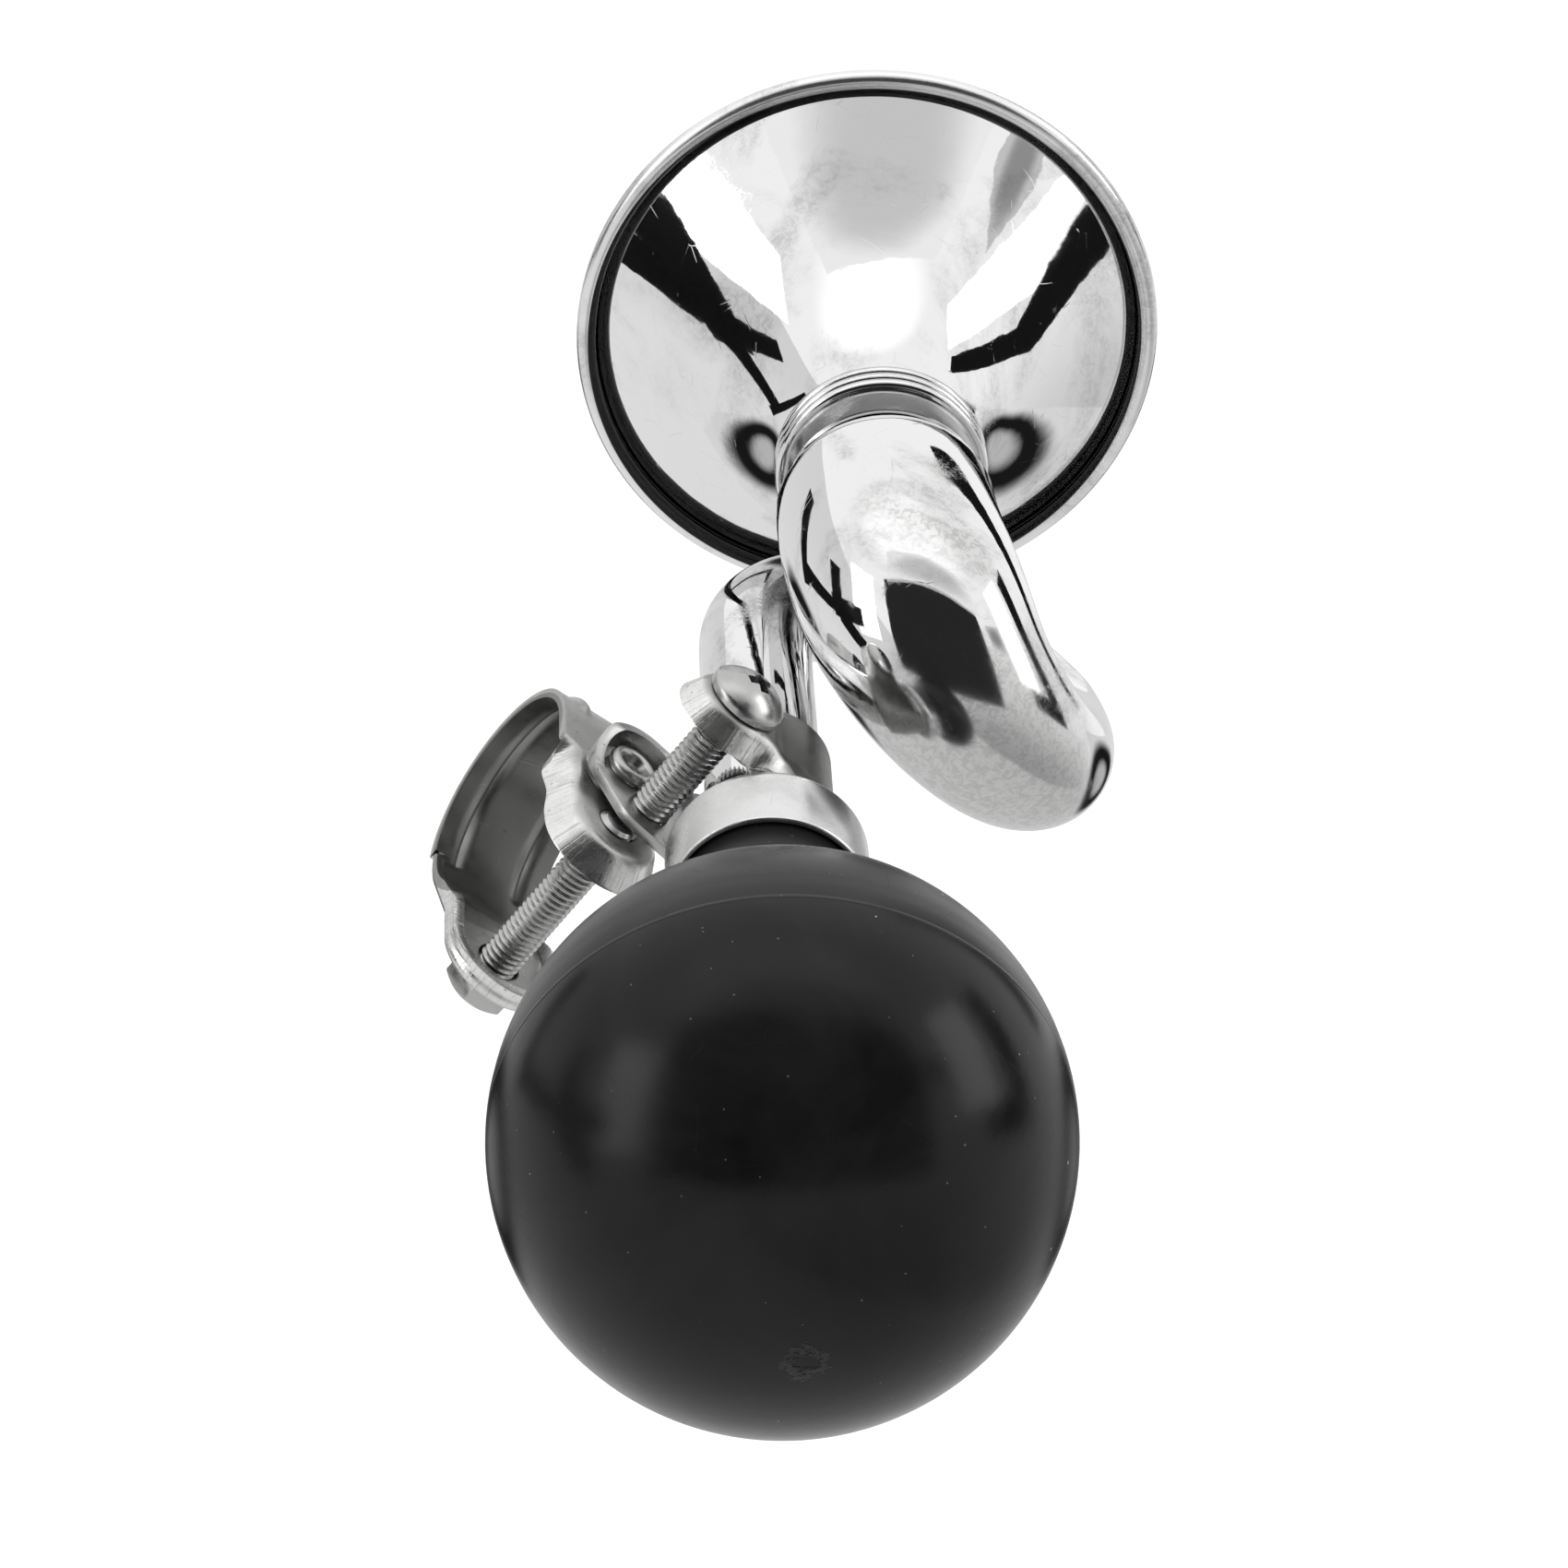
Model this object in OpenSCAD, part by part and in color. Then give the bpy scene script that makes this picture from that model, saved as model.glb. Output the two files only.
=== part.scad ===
// Squeeze-bulb bugle horn for a handlebar: a plated one-loop tube with a flared bell,
// a rubber bulb with a reed in its neck, and a two-ring bracket of pressed steel.
// Millimetres. +Y runs to the bell's mouth, +Z is up, and the loop hangs to +X.
// The origin is the middle of the handlebar clamp's bore, whose axis is X.

/* [Handlebar clamp] */
// Diameter of the handlebar that the clamp closes on
bar_d = 25.4; // [24:0.2:28]
// Thickness of the bracket's steel sheet
sheet_t = 1.2; // [1:0.1:1.4]
// Width of the handlebar band
band_w = 15; // [14:0.5:18]
// How far each pressed bead stands out of the band
bead_h = 0.6; // [0.3:0.1:0.8]
// Width of each pressed bead
bead_w = 2.6; // [1.8:0.1:3]
// Distance of each bead from the band's middle
bead_x = 4.3; // [2:0.1:4.6]
// Gap between the handlebar band and the clamp screw
bar_screw_gap = 1.6; // [1:0.1:4]
// Depth of the lower ear's outer face below the handlebar's axis
low_ear_drop = 10.7; // [10:0.1:11.4]
// Height of the rim round the lower ear
low_rim_h = 4.4; // [2.5:0.1:5]
// Depth of the dish pressed in the upper ear
dish_h = 3.4; // [2.4:0.1:4]
// Half width of the flat top of the upper ear
dish_flat = 4.2; // [3.8:0.1:5]

/* [Swivel] */
// Distance of the swivel pin behind the handlebar's axis
swivel_back = 9.3; // [9:0.1:10]
// Diameter of the swivel pin's shank
swivel_d = 4; // [3:0.1:4.4]
// Diameter of the swivel pin's heads
swivel_head_d = 6.2; // [5.6:0.1:6.4]
// Diameter of the bore in the swivel pin's upper end
swivel_bore_d = 2.4; // [1.2:0.1:2.8]
// Thickness of the washer between the band and the arm
washer_t = 1; // [0.8:0.1:2]
// Diameter of the washer
washer_d = 8.8; // [7:0.1:10]

/* [Tube clamp] */
// Width of the strap round the tube
strap_w = 14; // [13:0.5:15]
// Sideways distance of the tube from the bracket's middle
tube_side = 13; // [12.8:0.1:14]
// Distance of the tube clamp's screw from the tube's axis
tube_screw_side = 10; // [9.8:0.1:10.4]
// Distance of the tube clamp's screw behind the swivel pin
tube_screw_back = 5.1; // [5:0.1:6]
// How far the ears stand outside the strap's wrap
ear_out = 1.45; // [1:0.05:2]
// Half width of the strap's upper ear
top_ear_r = 6.5; // [6:0.1:6.5]
// Half width of the flat top of the strap's upper ear
top_ear_flat = 3.9; // [3.6:0.1:4.6]
// Depth of the dish pressed in the strap's upper ear
top_ear_h = 3.6; // [2.6:0.1:4]
// Radius of the arm's round end
arm_end_r = 5.2; // [5:0.1:5.8]
// Radius of the arm round its screw
arm_screw_r = 5; // [4.4:0.1:5.4]
// Height of the wall along the arm's front side, over the sheet
arm_wall_h = 2.8; // [1.6:0.1:3.6]

/* [Screws] */
// Thread diameter of both clamp screws
screw_d = 4.9; // [4:0.1:5]
// Width across the flats of the hexagon head
hex_af = 8; // [7:0.1:8.4]
// Thickness of the hexagon head
hex_h = 3.5; // [2.5:0.1:4]
// Diameter of the pan head
pan_d = 9.4; // [8:0.1:10]
// Height of the pan head
pan_h = 3.4; // [2.8:0.1:4]

/* [Tube] */
// Outer diameter of the straight inlet tube
tube_d = 13.6; // [13:0.1:14]
// Wall thickness of the tube
tube_t = 0.7; // [0.6:0.05:0.9]
// Distance from the handlebar's axis to where the loop begins
loop_start = 18.9; // [17:0.1:24]
// Radius of the loop's front turn, across the horn
front_turn_r = 17.7; // [17:0.1:19]
// Reach of the loop's front turn, along the horn
front_reach = 18; // [16:0.1:21]
// Radius of the loop's rear turn, across the horn
rear_turn_r = 16.1; // [15.6:0.1:17]
// Reach of the loop's rear turn, along the horn
rear_reach = 23.6; // [22:0.1:25]
// Advance of the tube along the horn in the whole loop
loop_advance = 6.2; // [5:0.1:10]
// Rise of the tube in the whole loop
loop_rise = 22; // [22:0.1:25]
// Outer diameter of the tube half way round the loop
mid_loop_d = 15.6; // [15:0.1:17]
// Outer diameter of the tube at the back of the loop
back_loop_d = 22; // [20:0.1:22.4]
// Outer diameter of the tube at its fullest
full_loop_d = 27; // [25:0.1:27]

/* [Throat and bell] */
// Distance from the loop's end to the rear edge of the throat sleeve
sleeve_gap = 3.3; // [3:0.1:6]
// Outer diameter of the two spigots that meet in the sleeve
throat_d = 23.1; // [22.4:0.1:24]
// Wall thickness of the sleeve
sleeve_t = 0.55; // [0.4:0.05:0.8]
// Length of the sleeve
sleeve_l = 10; // [9:0.1:14]
// Height of the collar's beads over the sleeve
collar_h = 0.8; // [0.5:0.1:1.4]
// Length of each of the collar's three beads
collar_bead_l = 1.6; // [1.2:0.1:2]
// Outer diameter of the bell over its rolled rim
bell_d = 74.4; // [66:0.2:90]
// Length of the bell from the sleeve's front edge to the rim
bell_l = 31.3; // [26:0.1:45]
// Wall thickness of the bell
bell_t = 0.6; // [0.5:0.05:0.7]
// Length of the bell's narrow part, as a share of the bell's length
flare_at = 0.37; // [0.2:0.01:0.6]
// Diameter of the rolled rim's section
roll_d = 3.2; // [2.8:0.1:4]

/* [Bulb] */
// Outer diameter of the rubber bulb
bulb_d = 61.2; // [54:0.2:70]
// Wall thickness of the rubber bulb
bulb_t = 2.4; // [1.8:0.1:4]
// Distance from the ferrule's rear edge to the bulb's middle
bulb_back = 43.2; // [40:0.1:50]
// Outer diameter of the bulb's neck
neck_d = 21; // [20:0.1:21]
// Radius of the fillet between the neck and the bulb
neck_fillet = 7; // [4:0.1:9]

/* [Ferrule and reed] */
// Outer diameter of the ferrule
ferrule_d = 23; // [23:0.1:23.4]
// Length of the ferrule
ferrule_l = 10.7; // [9:0.1:12]
// Wall thickness of the ferrule
ferrule_t = 0.7; // [0.5:0.05:0.7]
// Radius of the ferrule's front corner
ferrule_round = 2; // [1:0.1:2.4]
// Gap between the strap and the ferrule
ferrule_gap = 3; // [2:0.1:6]
// Wall thickness of the nipple in the bulb's neck
nipple_t = 0.75; // [0.5:0.05:1]
// Length of the nipple behind the ferrule's front wall
nipple_l = 21.3; // [20:0.1:26]
// Length of the plug that holds the reed
plug_l = 8; // [6:0.5:8]
// Outer diameter of the reed's shallot
shallot_d = 7.3; // [7:0.1:8]
// Wall thickness of the shallot
shallot_t = 0.65; // [0.5:0.05:0.7]
// Length of the shallot behind the plug
shallot_l = 12; // [11:0.5:18]
// Height of the shallot's flat face over its axis
flat_h = 2.4; // [2.2:0.1:2.6]
// Width of the reed's tongue
tongue_w = 4.6; // [4:0.1:4.8]
// Thickness of the reed's tongue
tongue_t = 0.3; // [0.2:0.05:0.5]
// Length of the clip that holds the tongue's root
clip_l = 2.6; // [2:0.1:3]

/* [Hidden] */
full_turn = 360;

$fn = 72;
// Radial clearance of a pin, a screw or the tube that turns in its hole
turn_gap = 0.05;
// Radial clearance of soldered and pressed pieces
seat_gap = 0.02;
// Radial clearance of a screw in the ear that it passes through
pass_gap = 0.3;
// Overlap that joins two forms of one solid
weld = 0.4;
// Height of the heads of the swivel pin
pin_head_h = 1.1;

// Handlebar clamp
bar_r = bar_d / 2;
band_r = bar_r + sheet_t;
screw_r = screw_d / 2;
bar_screw_y = -(band_r + bar_screw_gap + screw_r);
swivel_y = -swivel_back;

// Tube clamp
arm_z = band_r + washer_t;
tube_r = tube_d / 2;
strap_r = tube_r + turn_gap + sheet_t;
tube_x = tube_side;
tube_z = arm_z + ear_out + strap_r;
tube_screw_x = tube_x - tube_screw_side;
tube_screw_y = swivel_y - tube_screw_back;
top_ear_z = tube_z + strap_r + ear_out;
// Where the strap's offset bend starts and ends
bend_in_x = tube_x - 3.4;
bend_out_x = tube_x - 5.2;

// Loop, throat and bell
bell_x = tube_x + 2 * (front_turn_r - rear_turn_r);
bell_z = tube_z + loop_rise;
loop_end_y = loop_start + loop_advance;
throat_r = throat_d / 2;
sleeve_y = loop_end_y + sleeve_gap;
neck_y = sleeve_y + sleeve_l;
sleeve_r = throat_r + seat_gap + sleeve_t;
roll_r = roll_d / 2;
flare_r = bell_d / 2 - roll_r;

// Bulb, ferrule and reed, all on the inlet tube's axis
ferrule_front_y = tube_screw_y - strap_w / 2 - ferrule_gap;
ferrule_back_y = ferrule_front_y - ferrule_l;
ferrule_r = ferrule_d / 2;
ferrule_wall_y = ferrule_front_y - ferrule_t;
bulb_r = bulb_d / 2;
bulb_y = ferrule_back_y - bulb_back;
neck_r = neck_d / 2;
flange_t = 1;
nipple_r = tube_r + turn_gap + nipple_t;
tube_back_y = ferrule_front_y - 9;
plug_front_y = tube_back_y - 2.6;
plug_back_y = plug_front_y - plug_l;
shallot_r = shallot_d / 2;
shallot_back_y = plug_back_y - shallot_l;
tongue_gap = 0.3;
tongue_lift = flat_h + tongue_gap;

steel = [0.70, 0.70, 0.68];
chrome = [0.86, 0.87, 0.88];
brass = [0.80, 0.66, 0.36];
rubber = [0.09, 0.09, 0.10];

// Places its children with their Z axis along the horn, on the axis at x, z
module along_horn(x, y, z) {
    translate([x, y, z]) rotate([-90, 0, 0]) children();
}

// A flat link of two round ends joined by their common tangents
function heading(a, b) = atan2(b[1] - a[1], b[0] - a[0]);
function on_circle(c, r, angle) = c + r * [cos(angle), sin(angle)];
module link(a, ra, b, rb) {
    turn = acos((ra - rb) / norm(b - a));
    aim = heading(a, b);
    translate(a) circle(ra);
    translate(b) circle(rb);
    polygon([on_circle(a, ra, aim + turn), on_circle(a, ra, aim - turn),
        on_circle(b, rb, aim - turn), on_circle(b, rb, aim + turn)]);
}

// The sloping side of a dished ear in section: flat to half width top, then down by h
// to half width base
function dish_side(top, base, h) = [
    [top - sheet_t * 0.5, -sheet_t], [base - sheet_t * 1.2, -h], [base, -h], [top, 0]];
function mirrored(points) = [
    for (i = [len(points) - 1 : -1 : 0]) [-points[i][0], points[i][1]]];

// A dished ear: a round end about the origin and a straight run to +X
module dished_ear(top, base, h, run) {
    side = dish_side(top, base, h);
    rotate([0, 0, 90]) rotate_extrude(angle = 180)
        polygon(concat([[0, -sheet_t]], side, [[0, 0]]));
    rotate([90, 0, 90]) linear_extrude(run) polygon(concat(side, mirrored(side)));
}

// A thin slice across X of one side of an ear
module slice(points) {
    rotate([90, 0, 90]) linear_extrude(0.02) polygon(points);
}

// A sector of the band about the handlebar's axis, from the crown by way of the front
module band_sector(start, sweep) {
    rotate([0, -90, 0]) rotate([0, 0, start]) rotate_extrude(angle = sweep) children();
}

// Section of one pressed bead whose foot is at radius r
module bead_section(r, x) {
    polygon([[r - weld, x - bead_w / 2], [r, x - bead_w / 2], [r + bead_h, x - bead_w / 4],
        [r + bead_h, x + bead_w / 4], [r, x + bead_w / 2], [r - weld, x + bead_w / 2]]);
}

// The band wraps the handlebar from its flat crown round the front to the lower ear
module handlebar_band() {
    // The lower ear leaves the band along a tangent that meets its flat seat at the bend
    bend_y = bar_screw_y + hex_af / sqrt(3) + 0.15;
    slope = atan(-bend_y / low_ear_drop) - acos(band_r / norm([bend_y, low_ear_drop]));
    wrap = 180 + slope + 3;
    sunk = 0.06;
    foot_y = -(band_r - sunk) * sin(slope);
    foot_z = -(band_r - sunk) * cos(slope);
    bead_start = 9;
    bead_sweep = wrap - 20;
    full_y = swivel_y + 2;
    flap_y = -5.4;
    run = full_y - bar_screw_y;
    half_w = band_w / 2;
    low_half_w = half_w - 0.7;
    color(steel) difference() {
        union() {
            band_sector(0, wrap) translate([bar_r, -half_w]) square([sheet_t, band_w]);
            for (x = [-bead_x, bead_x])
                band_sector(bead_start, bead_sweep) bead_section(band_r, x);
            difference() {
                union() {
                    // Upper ear, and the crown between it and the band
                    translate([0, bar_screw_y, band_r]) rotate([0, 0, 90])
                        dished_ear(dish_flat, half_w, dish_h, run);
                    translate([-dish_flat, full_y - weld, bar_r])
                        cube([2 * dish_flat, flap_y - full_y + 2 * weld, sheet_t]);
                    translate([-half_w, flap_y, bar_r]) cube([band_w, weld - flap_y, sheet_t]);
                    for (side = [0, 1]) mirror([side, 0, 0])
                        translate([0, 0, band_r]) rotate([0, 0, 90]) hull() {
                            translate([full_y - 0.02, 0, 0])
                                slice(dish_side(dish_flat, half_w, dish_h));
                            translate([flap_y, 0, 0])
                                slice(dish_side(half_w, half_w + 0.7, sheet_t));
                        }
                    // Lower ear, with its rim turned up, and its slope to the band
                    translate([0, bar_screw_y, -low_ear_drop]) rotate([0, 0, 90])
                        mirror([0, 0, 1])
                            dished_ear(low_half_w, half_w, low_rim_h, bend_y - bar_screw_y);
                    translate([-low_half_w, 0, sunk]) rotate([90, 0, 90])
                        linear_extrude(2 * low_half_w) polygon([
                            [bend_y - weld, -low_ear_drop], [bend_y, -low_ear_drop],
                            [foot_y, foot_z], [foot_y, foot_z + sheet_t],
                            [bend_y, sheet_t - low_ear_drop],
                            [bend_y - weld, sheet_t - low_ear_drop]]);
                    for (side = [0, 1]) mirror([side, 0, 0])
                        rotate([0, 0, 90]) mirror([0, 0, 1]) hull() {
                            translate([bend_y - 0.02, 0, low_ear_drop])
                                slice(dish_side(low_half_w, half_w, low_rim_h));
                            translate([foot_y, 0, -foot_z])
                                slice(dish_side(half_w, half_w, sheet_t));
                        }
                }
                rotate([0, 90, 0]) cylinder(h = 2 * band_w, r = bar_r, center = true);
            }
        }
        for (x = [-bead_x, bead_x])
            band_sector(bead_start, bead_sweep) bead_section(bar_r, x);
        // The screw is threaded in the upper ear and passes through the lower one
        translate([0, bar_screw_y, 0]) cylinder(h = band_r + 1, r = screw_r + turn_gap);
        translate([0, bar_screw_y, -low_ear_drop - 1])
            cylinder(h = sheet_t + 2, r = screw_r + pass_gap);
        translate([0, swivel_y, bar_r - 1])
            cylinder(h = sheet_t + 2, r = swivel_d / 2 + seat_gap);
    }
}

// A riveted pin whose upper end is bored and rolled over the arm
module swivel_pin() {
    top_z = arm_z + sheet_t + turn_gap;
    head_r = swivel_head_d / 2;
    color(steel) translate([0, swivel_y, 0]) difference() {
        union() {
            translate([0, 0, bar_r - pin_head_h]) cylinder(h = pin_head_h, r = head_r);
            translate([0, 0, bar_r - weld])
                cylinder(h = top_z - bar_r + 2 * weld, r = swivel_d / 2);
            translate([0, 0, top_z]) cylinder(h = pin_head_h * 0.5, r = head_r);
            translate([0, 0, top_z + pin_head_h * 0.5])
                cylinder(h = pin_head_h, r1 = head_r, r2 = head_r * 0.6);
        }
        translate([0, 0, top_z]) cylinder(h = 3 * pin_head_h, r = swivel_bore_d / 2);
    }
}

module swivel_washer() {
    color(steel) translate([0, swivel_y, band_r]) difference() {
        cylinder(h = washer_t, r = washer_d / 2);
        translate([0, 0, -1]) cylinder(h = washer_t + 2, r = swivel_d / 2 + seat_gap);
    }
}

// Hexagon-head screw under the lower ear, threaded in the upper ear
module bar_clamp_screw() {
    tip_z = arm_z - 0.5;
    color(steel) translate([0, bar_screw_y, 0]) {
        translate([0, 0, -low_ear_drop - hex_h])
            cylinder(h = hex_h, r = hex_af / sqrt(3), $fn = 6);
        translate([0, 0, -low_ear_drop - weld])
            cylinder(h = tip_z + low_ear_drop + weld, r = screw_r);
    }
}

// Outline of the arm, from its pivot by way of its screw to the strap
module arm_outline(inset) {
    pivot = [0, swivel_y];
    screw = [tube_screw_x, tube_screw_y];
    corner_r = 4;
    front = [bend_out_x, tube_screw_y + strap_w / 2 - corner_r];
    back = [bend_out_x, tube_screw_y - strap_w / 2 + corner_r];
    link(pivot, arm_end_r - inset, screw, arm_screw_r - inset);
    link(pivot, arm_end_r - inset, front, corner_r - inset);
    link(screw, arm_screw_r - inset, back, corner_r - inset);
    polygon([pivot, screw, back, front]);
}

// The strap's leg and its offset bend in side view, from the wrap to the flat ear
module leg_profile() {
    polygon([[tube_x, ear_out], [bend_in_x, ear_out], [bend_out_x, 0], [bend_out_x - weld, 0],
        [bend_out_x - weld, sheet_t], [bend_out_x, sheet_t], [bend_in_x, ear_out + sheet_t],
        [tube_x, ear_out + sheet_t]]);
}

// One sheet strap round the tube, from the arm with its pivot to the dished upper ear
module tube_clamp() {
    back_y = tube_screw_y - strap_w / 2;
    wall_slope = 28;
    color(steel) difference() {
        union() {
            // Wrap round the tube's outer side
            along_horn(tube_x, back_y, tube_z) rotate([0, 0, -90]) rotate_extrude(angle = 180)
                translate([strap_r - sheet_t, 0]) square([sheet_t, strap_w]);
            translate([0, back_y + strap_w, arm_z]) rotate([90, 0, 0])
                linear_extrude(strap_w) leg_profile();
            translate([0, back_y + strap_w, top_ear_z]) mirror([0, 0, 1]) rotate([90, 0, 0])
                linear_extrude(strap_w) leg_profile();
            // Arm
            intersection() {
                translate([0, 0, arm_z]) linear_extrude(sheet_t) arm_outline(0);
                translate([-band_w, back_y, 0]) cube([band_w + bend_out_x, 2 * strap_w, tube_z]);
            }
            // Wall along the arm's front side, which falls away towards the rear
            difference() {
                intersection() {
                    translate([0, 0, arm_z]) linear_extrude(sheet_t + arm_wall_h)
                        difference() {
                            arm_outline(0);
                            arm_outline(sheet_t);
                        }
                    translate([-band_w, back_y, 0])
                        cube([band_w + bend_out_x + 0.3, 2 * strap_w, tube_z]);
                }
                translate([-band_w, swivel_y - 3, arm_z + sheet_t * 0.6]) rotate([wall_slope, 0, 0])
                    translate([0, -2 * strap_w, 0]) cube([2 * band_w, 4 * strap_w, strap_w]);
            }
            // Upper ear
            translate([tube_screw_x, tube_screw_y, top_ear_z])
                dished_ear(top_ear_flat, top_ear_r, top_ear_h, bend_out_x - tube_screw_x);
        }
        translate([0, swivel_y, arm_z - 1]) cylinder(h = sheet_t + 2, r = swivel_d / 2 + turn_gap);
        // The screw is threaded in the arm and passes through the upper ear
        translate([tube_screw_x, tube_screw_y, arm_z - 1])
            cylinder(h = sheet_t + 2, r = screw_r + turn_gap);
        translate([tube_screw_x, tube_screw_y, top_ear_z - sheet_t - 1])
            cylinder(h = sheet_t + 2, r = screw_r + pass_gap);
    }
}

// Pan-head screw with a cross recess, over the strap's upper ear
module tube_clamp_screw() {
    tip_z = arm_z + 0.2;
    edge_h = pan_h * 0.35;
    dome_h = pan_h - edge_h;
    dome_r = (pow(pan_d / 2, 2) + pow(dome_h, 2)) / (2 * dome_h);
    slot_l = pan_d * 0.5;
    slot_w = pan_d * 0.11;
    color(steel) translate([tube_screw_x, tube_screw_y, 0]) {
        difference() {
            intersection() {
                translate([0, 0, top_ear_z]) cylinder(h = pan_h, r = pan_d / 2);
                translate([0, 0, top_ear_z + pan_h - dome_r]) sphere(dome_r);
            }
            for (turn = [20, 110]) rotate([0, 0, turn])
                translate([-slot_l / 2, -slot_w / 2, top_ear_z + pan_h * 0.4])
                    cube([slot_l, slot_w, pan_h]);
        }
        translate([0, 0, tip_z]) cylinder(h = top_ear_z - tip_z + weld, r = screw_r);
    }
}

// The loop's centre line and radius at t degrees round the loop
function rise(s, blend) =
    s < blend ? s * s / (2 * blend * (1 - blend)) :
    s > 1 - blend ? 1 - pow(1 - s, 2) / (2 * blend * (1 - blend)) :
    (s - blend / 2) / (1 - blend);
function loop_point(t) = [
    tube_x + (t <= 180 ? front_turn_r * (1 - cos(t))
        : 2 * front_turn_r - rear_turn_r * (1 + cos(t))),
    loop_start + (t <= 180 ? front_reach : rear_reach) * sin(t) + loop_advance * t / full_turn,
    tube_z + loop_rise * rise(t / full_turn, 0.17)];
function loop_radius(t) = lookup(t, [[0, tube_r], [90, tube_r + 0.1], [180, mid_loop_d / 2],
    [225, mid_loop_d * 0.33 + back_loop_d * 0.17], [270, back_loop_d / 2],
    [315, full_loop_d / 2], [340, full_loop_d / 2 - 0.05], [full_turn, full_loop_d / 2 - 0.4]]);
function unit(v) = v / norm(v);
function loop_ahead(t) = t <= 0 || t >= full_turn ? [0, 1, 0]
    : unit(loop_point(t + 0.5) - loop_point(t - 0.5));
function ring(center, ahead, r, sides) =
    let (across = unit(cross([0, 0, 1], ahead)), up = cross(ahead, across))
    [for (i = [0 : sides - 1])
        center + r * (cos(full_turn * i / sides) * across + sin(full_turn * i / sides) * up)];

// The swept wall of the loop. Its end rings lie inside the walls of the straight pieces
module loop_wall() {
    rings = 58;
    sides = 24;
    sunk = 0.05;
    end_r = loop_radius(full_turn) - 0.25;
    stations = concat([[[tube_x, loop_start - weld, tube_z], [0, 1, 0], tube_r, sunk]],
        [for (i = [0 : rings]) let (t = full_turn * i / rings)
            [loop_point(t), loop_ahead(t), loop_radius(t), i == 0 || i == rings ? sunk : 0]],
        [[[bell_x, loop_end_y + weld, bell_z], [0, 1, 0], end_r, sunk]]);
    count = len(stations) * sides;
    outer = [for (s = stations) each ring(s[0], s[1], s[2] - s[3], sides)];
    inner = [for (s = stations) each ring(s[0], s[1], s[2] - tube_t + s[3], sides)];
    last = (len(stations) - 1) * sides;
    walls = [for (i = [0 : len(stations) - 2], j = [0 : sides - 1])
        let (a = i * sides + j, b = i * sides + (j + 1) % sides, c = b + sides, d = a + sides)
        each [[a, d, c], [a, c, b], [count + a, count + c, count + d],
            [count + a, count + b, count + c]]];
    ends = [for (j = [0 : sides - 1]) let (k = (j + 1) % sides)
        each [[j, k, count + k, count + j],
            [last + k, last + j, count + last + j, count + last + k]]];
    polyhedron(points = concat(outer, inner), faces = concat(walls, ends), convexity = 8);
}

// One tube: the straight inlet, the loop, and the spigot that the sleeve takes
module coiled_tube() {
    end_r = loop_radius(full_turn);
    color(chrome) {
        along_horn(tube_x, tube_back_y, tube_z) difference() {
            cylinder(h = loop_start - tube_back_y, r = tube_r);
            translate([0, 0, -1])
                cylinder(h = loop_start - tube_back_y + 2, r = tube_r - tube_t);
        }
        loop_wall();
        along_horn(bell_x, loop_end_y, bell_z) rotate_extrude() polygon([
            [end_r - tube_t, 0], [end_r, 0], [throat_r + 0.2, sleeve_gap - 0.3],
            [throat_r, sleeve_gap - 0.1], [throat_r, sleeve_gap + sleeve_l / 2 - 0.2],
            [throat_r - tube_t, sleeve_gap + sleeve_l / 2 - 0.2],
            [throat_r - tube_t, sleeve_gap - 0.1]]);
    }
}

// Plain sleeve over the two spigots
module throat_sleeve() {
    color(chrome) along_horn(bell_x, sleeve_y, bell_z) difference() {
        cylinder(h = sleeve_l, r = sleeve_r);
        translate([0, 0, -1]) cylinder(h = sleeve_l + 2, r = throat_r + seat_gap);
    }
}

// Ring of three beads round the sleeve's front end
module throat_collar() {
    collar_l = 3 * collar_bead_l;
    color(chrome) along_horn(bell_x, neck_y - collar_l, bell_z) rotate_extrude()
        difference() {
            union() {
                translate([sleeve_r, 0]) square([collar_h * 0.45, collar_l]);
                for (i = [0.5, 1.5, 2.5]) translate([sleeve_r, i * collar_bead_l])
                    circle(collar_h);
            }
            square([sleeve_r + seat_gap, collar_l]);
        }
}

// Outer side of the bell from its neck to its rolled rim, as [radius, distance]
function flare_point(s) = pow(1 - s, 2) * [throat_r + 0.1, 0]
    + 2 * s * (1 - s) * [throat_r + 0.9, flare_at * bell_l]
    + s * s * [flare_r - roll_r * 0.2, bell_l + roll_r * 0.9];
function flare_normal(s) = let (d = flare_point(s + 0.001) - flare_point(s - 0.001))
    [-d[1], d[0]] / norm(d);

module bell() {
    spigot_l = sleeve_l / 2 - 0.2;
    steps = 18;
    outside = [for (i = [0 : steps]) flare_point(i / steps)];
    inside = [for (i = [steps : -1 : 0]) flare_point(i / steps)
        + bell_t * flare_normal(i / steps)];
    color(chrome) along_horn(bell_x, neck_y, bell_z) rotate_extrude() {
        polygon(concat([[throat_r - bell_t, -spigot_l], [throat_r, -spigot_l], [throat_r, 0]],
            outside, inside, [[throat_r - bell_t, 0]]));
        // Rim rolled back round its wire
        translate([flare_r, bell_l]) difference() {
            circle(roll_r);
            circle(roll_r - bell_t);
            rotate([0, 0, 205]) translate([0, -0.15]) square([roll_d, 0.3]);
        }
    }
}

module rim_wire() {
    color(steel) along_horn(bell_x, neck_y + bell_l, bell_z) rotate_extrude()
        translate([flare_r, 0]) circle(roll_r - bell_t - turn_gap);
}

// Section of a round cup with a rounded front corner, open at the rear
module cup_section(r, l, round_r) {
    square([r, l - round_r]);
    square([r - round_r, l]);
    translate([r - round_r, l - round_r]) circle(round_r);
}

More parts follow.
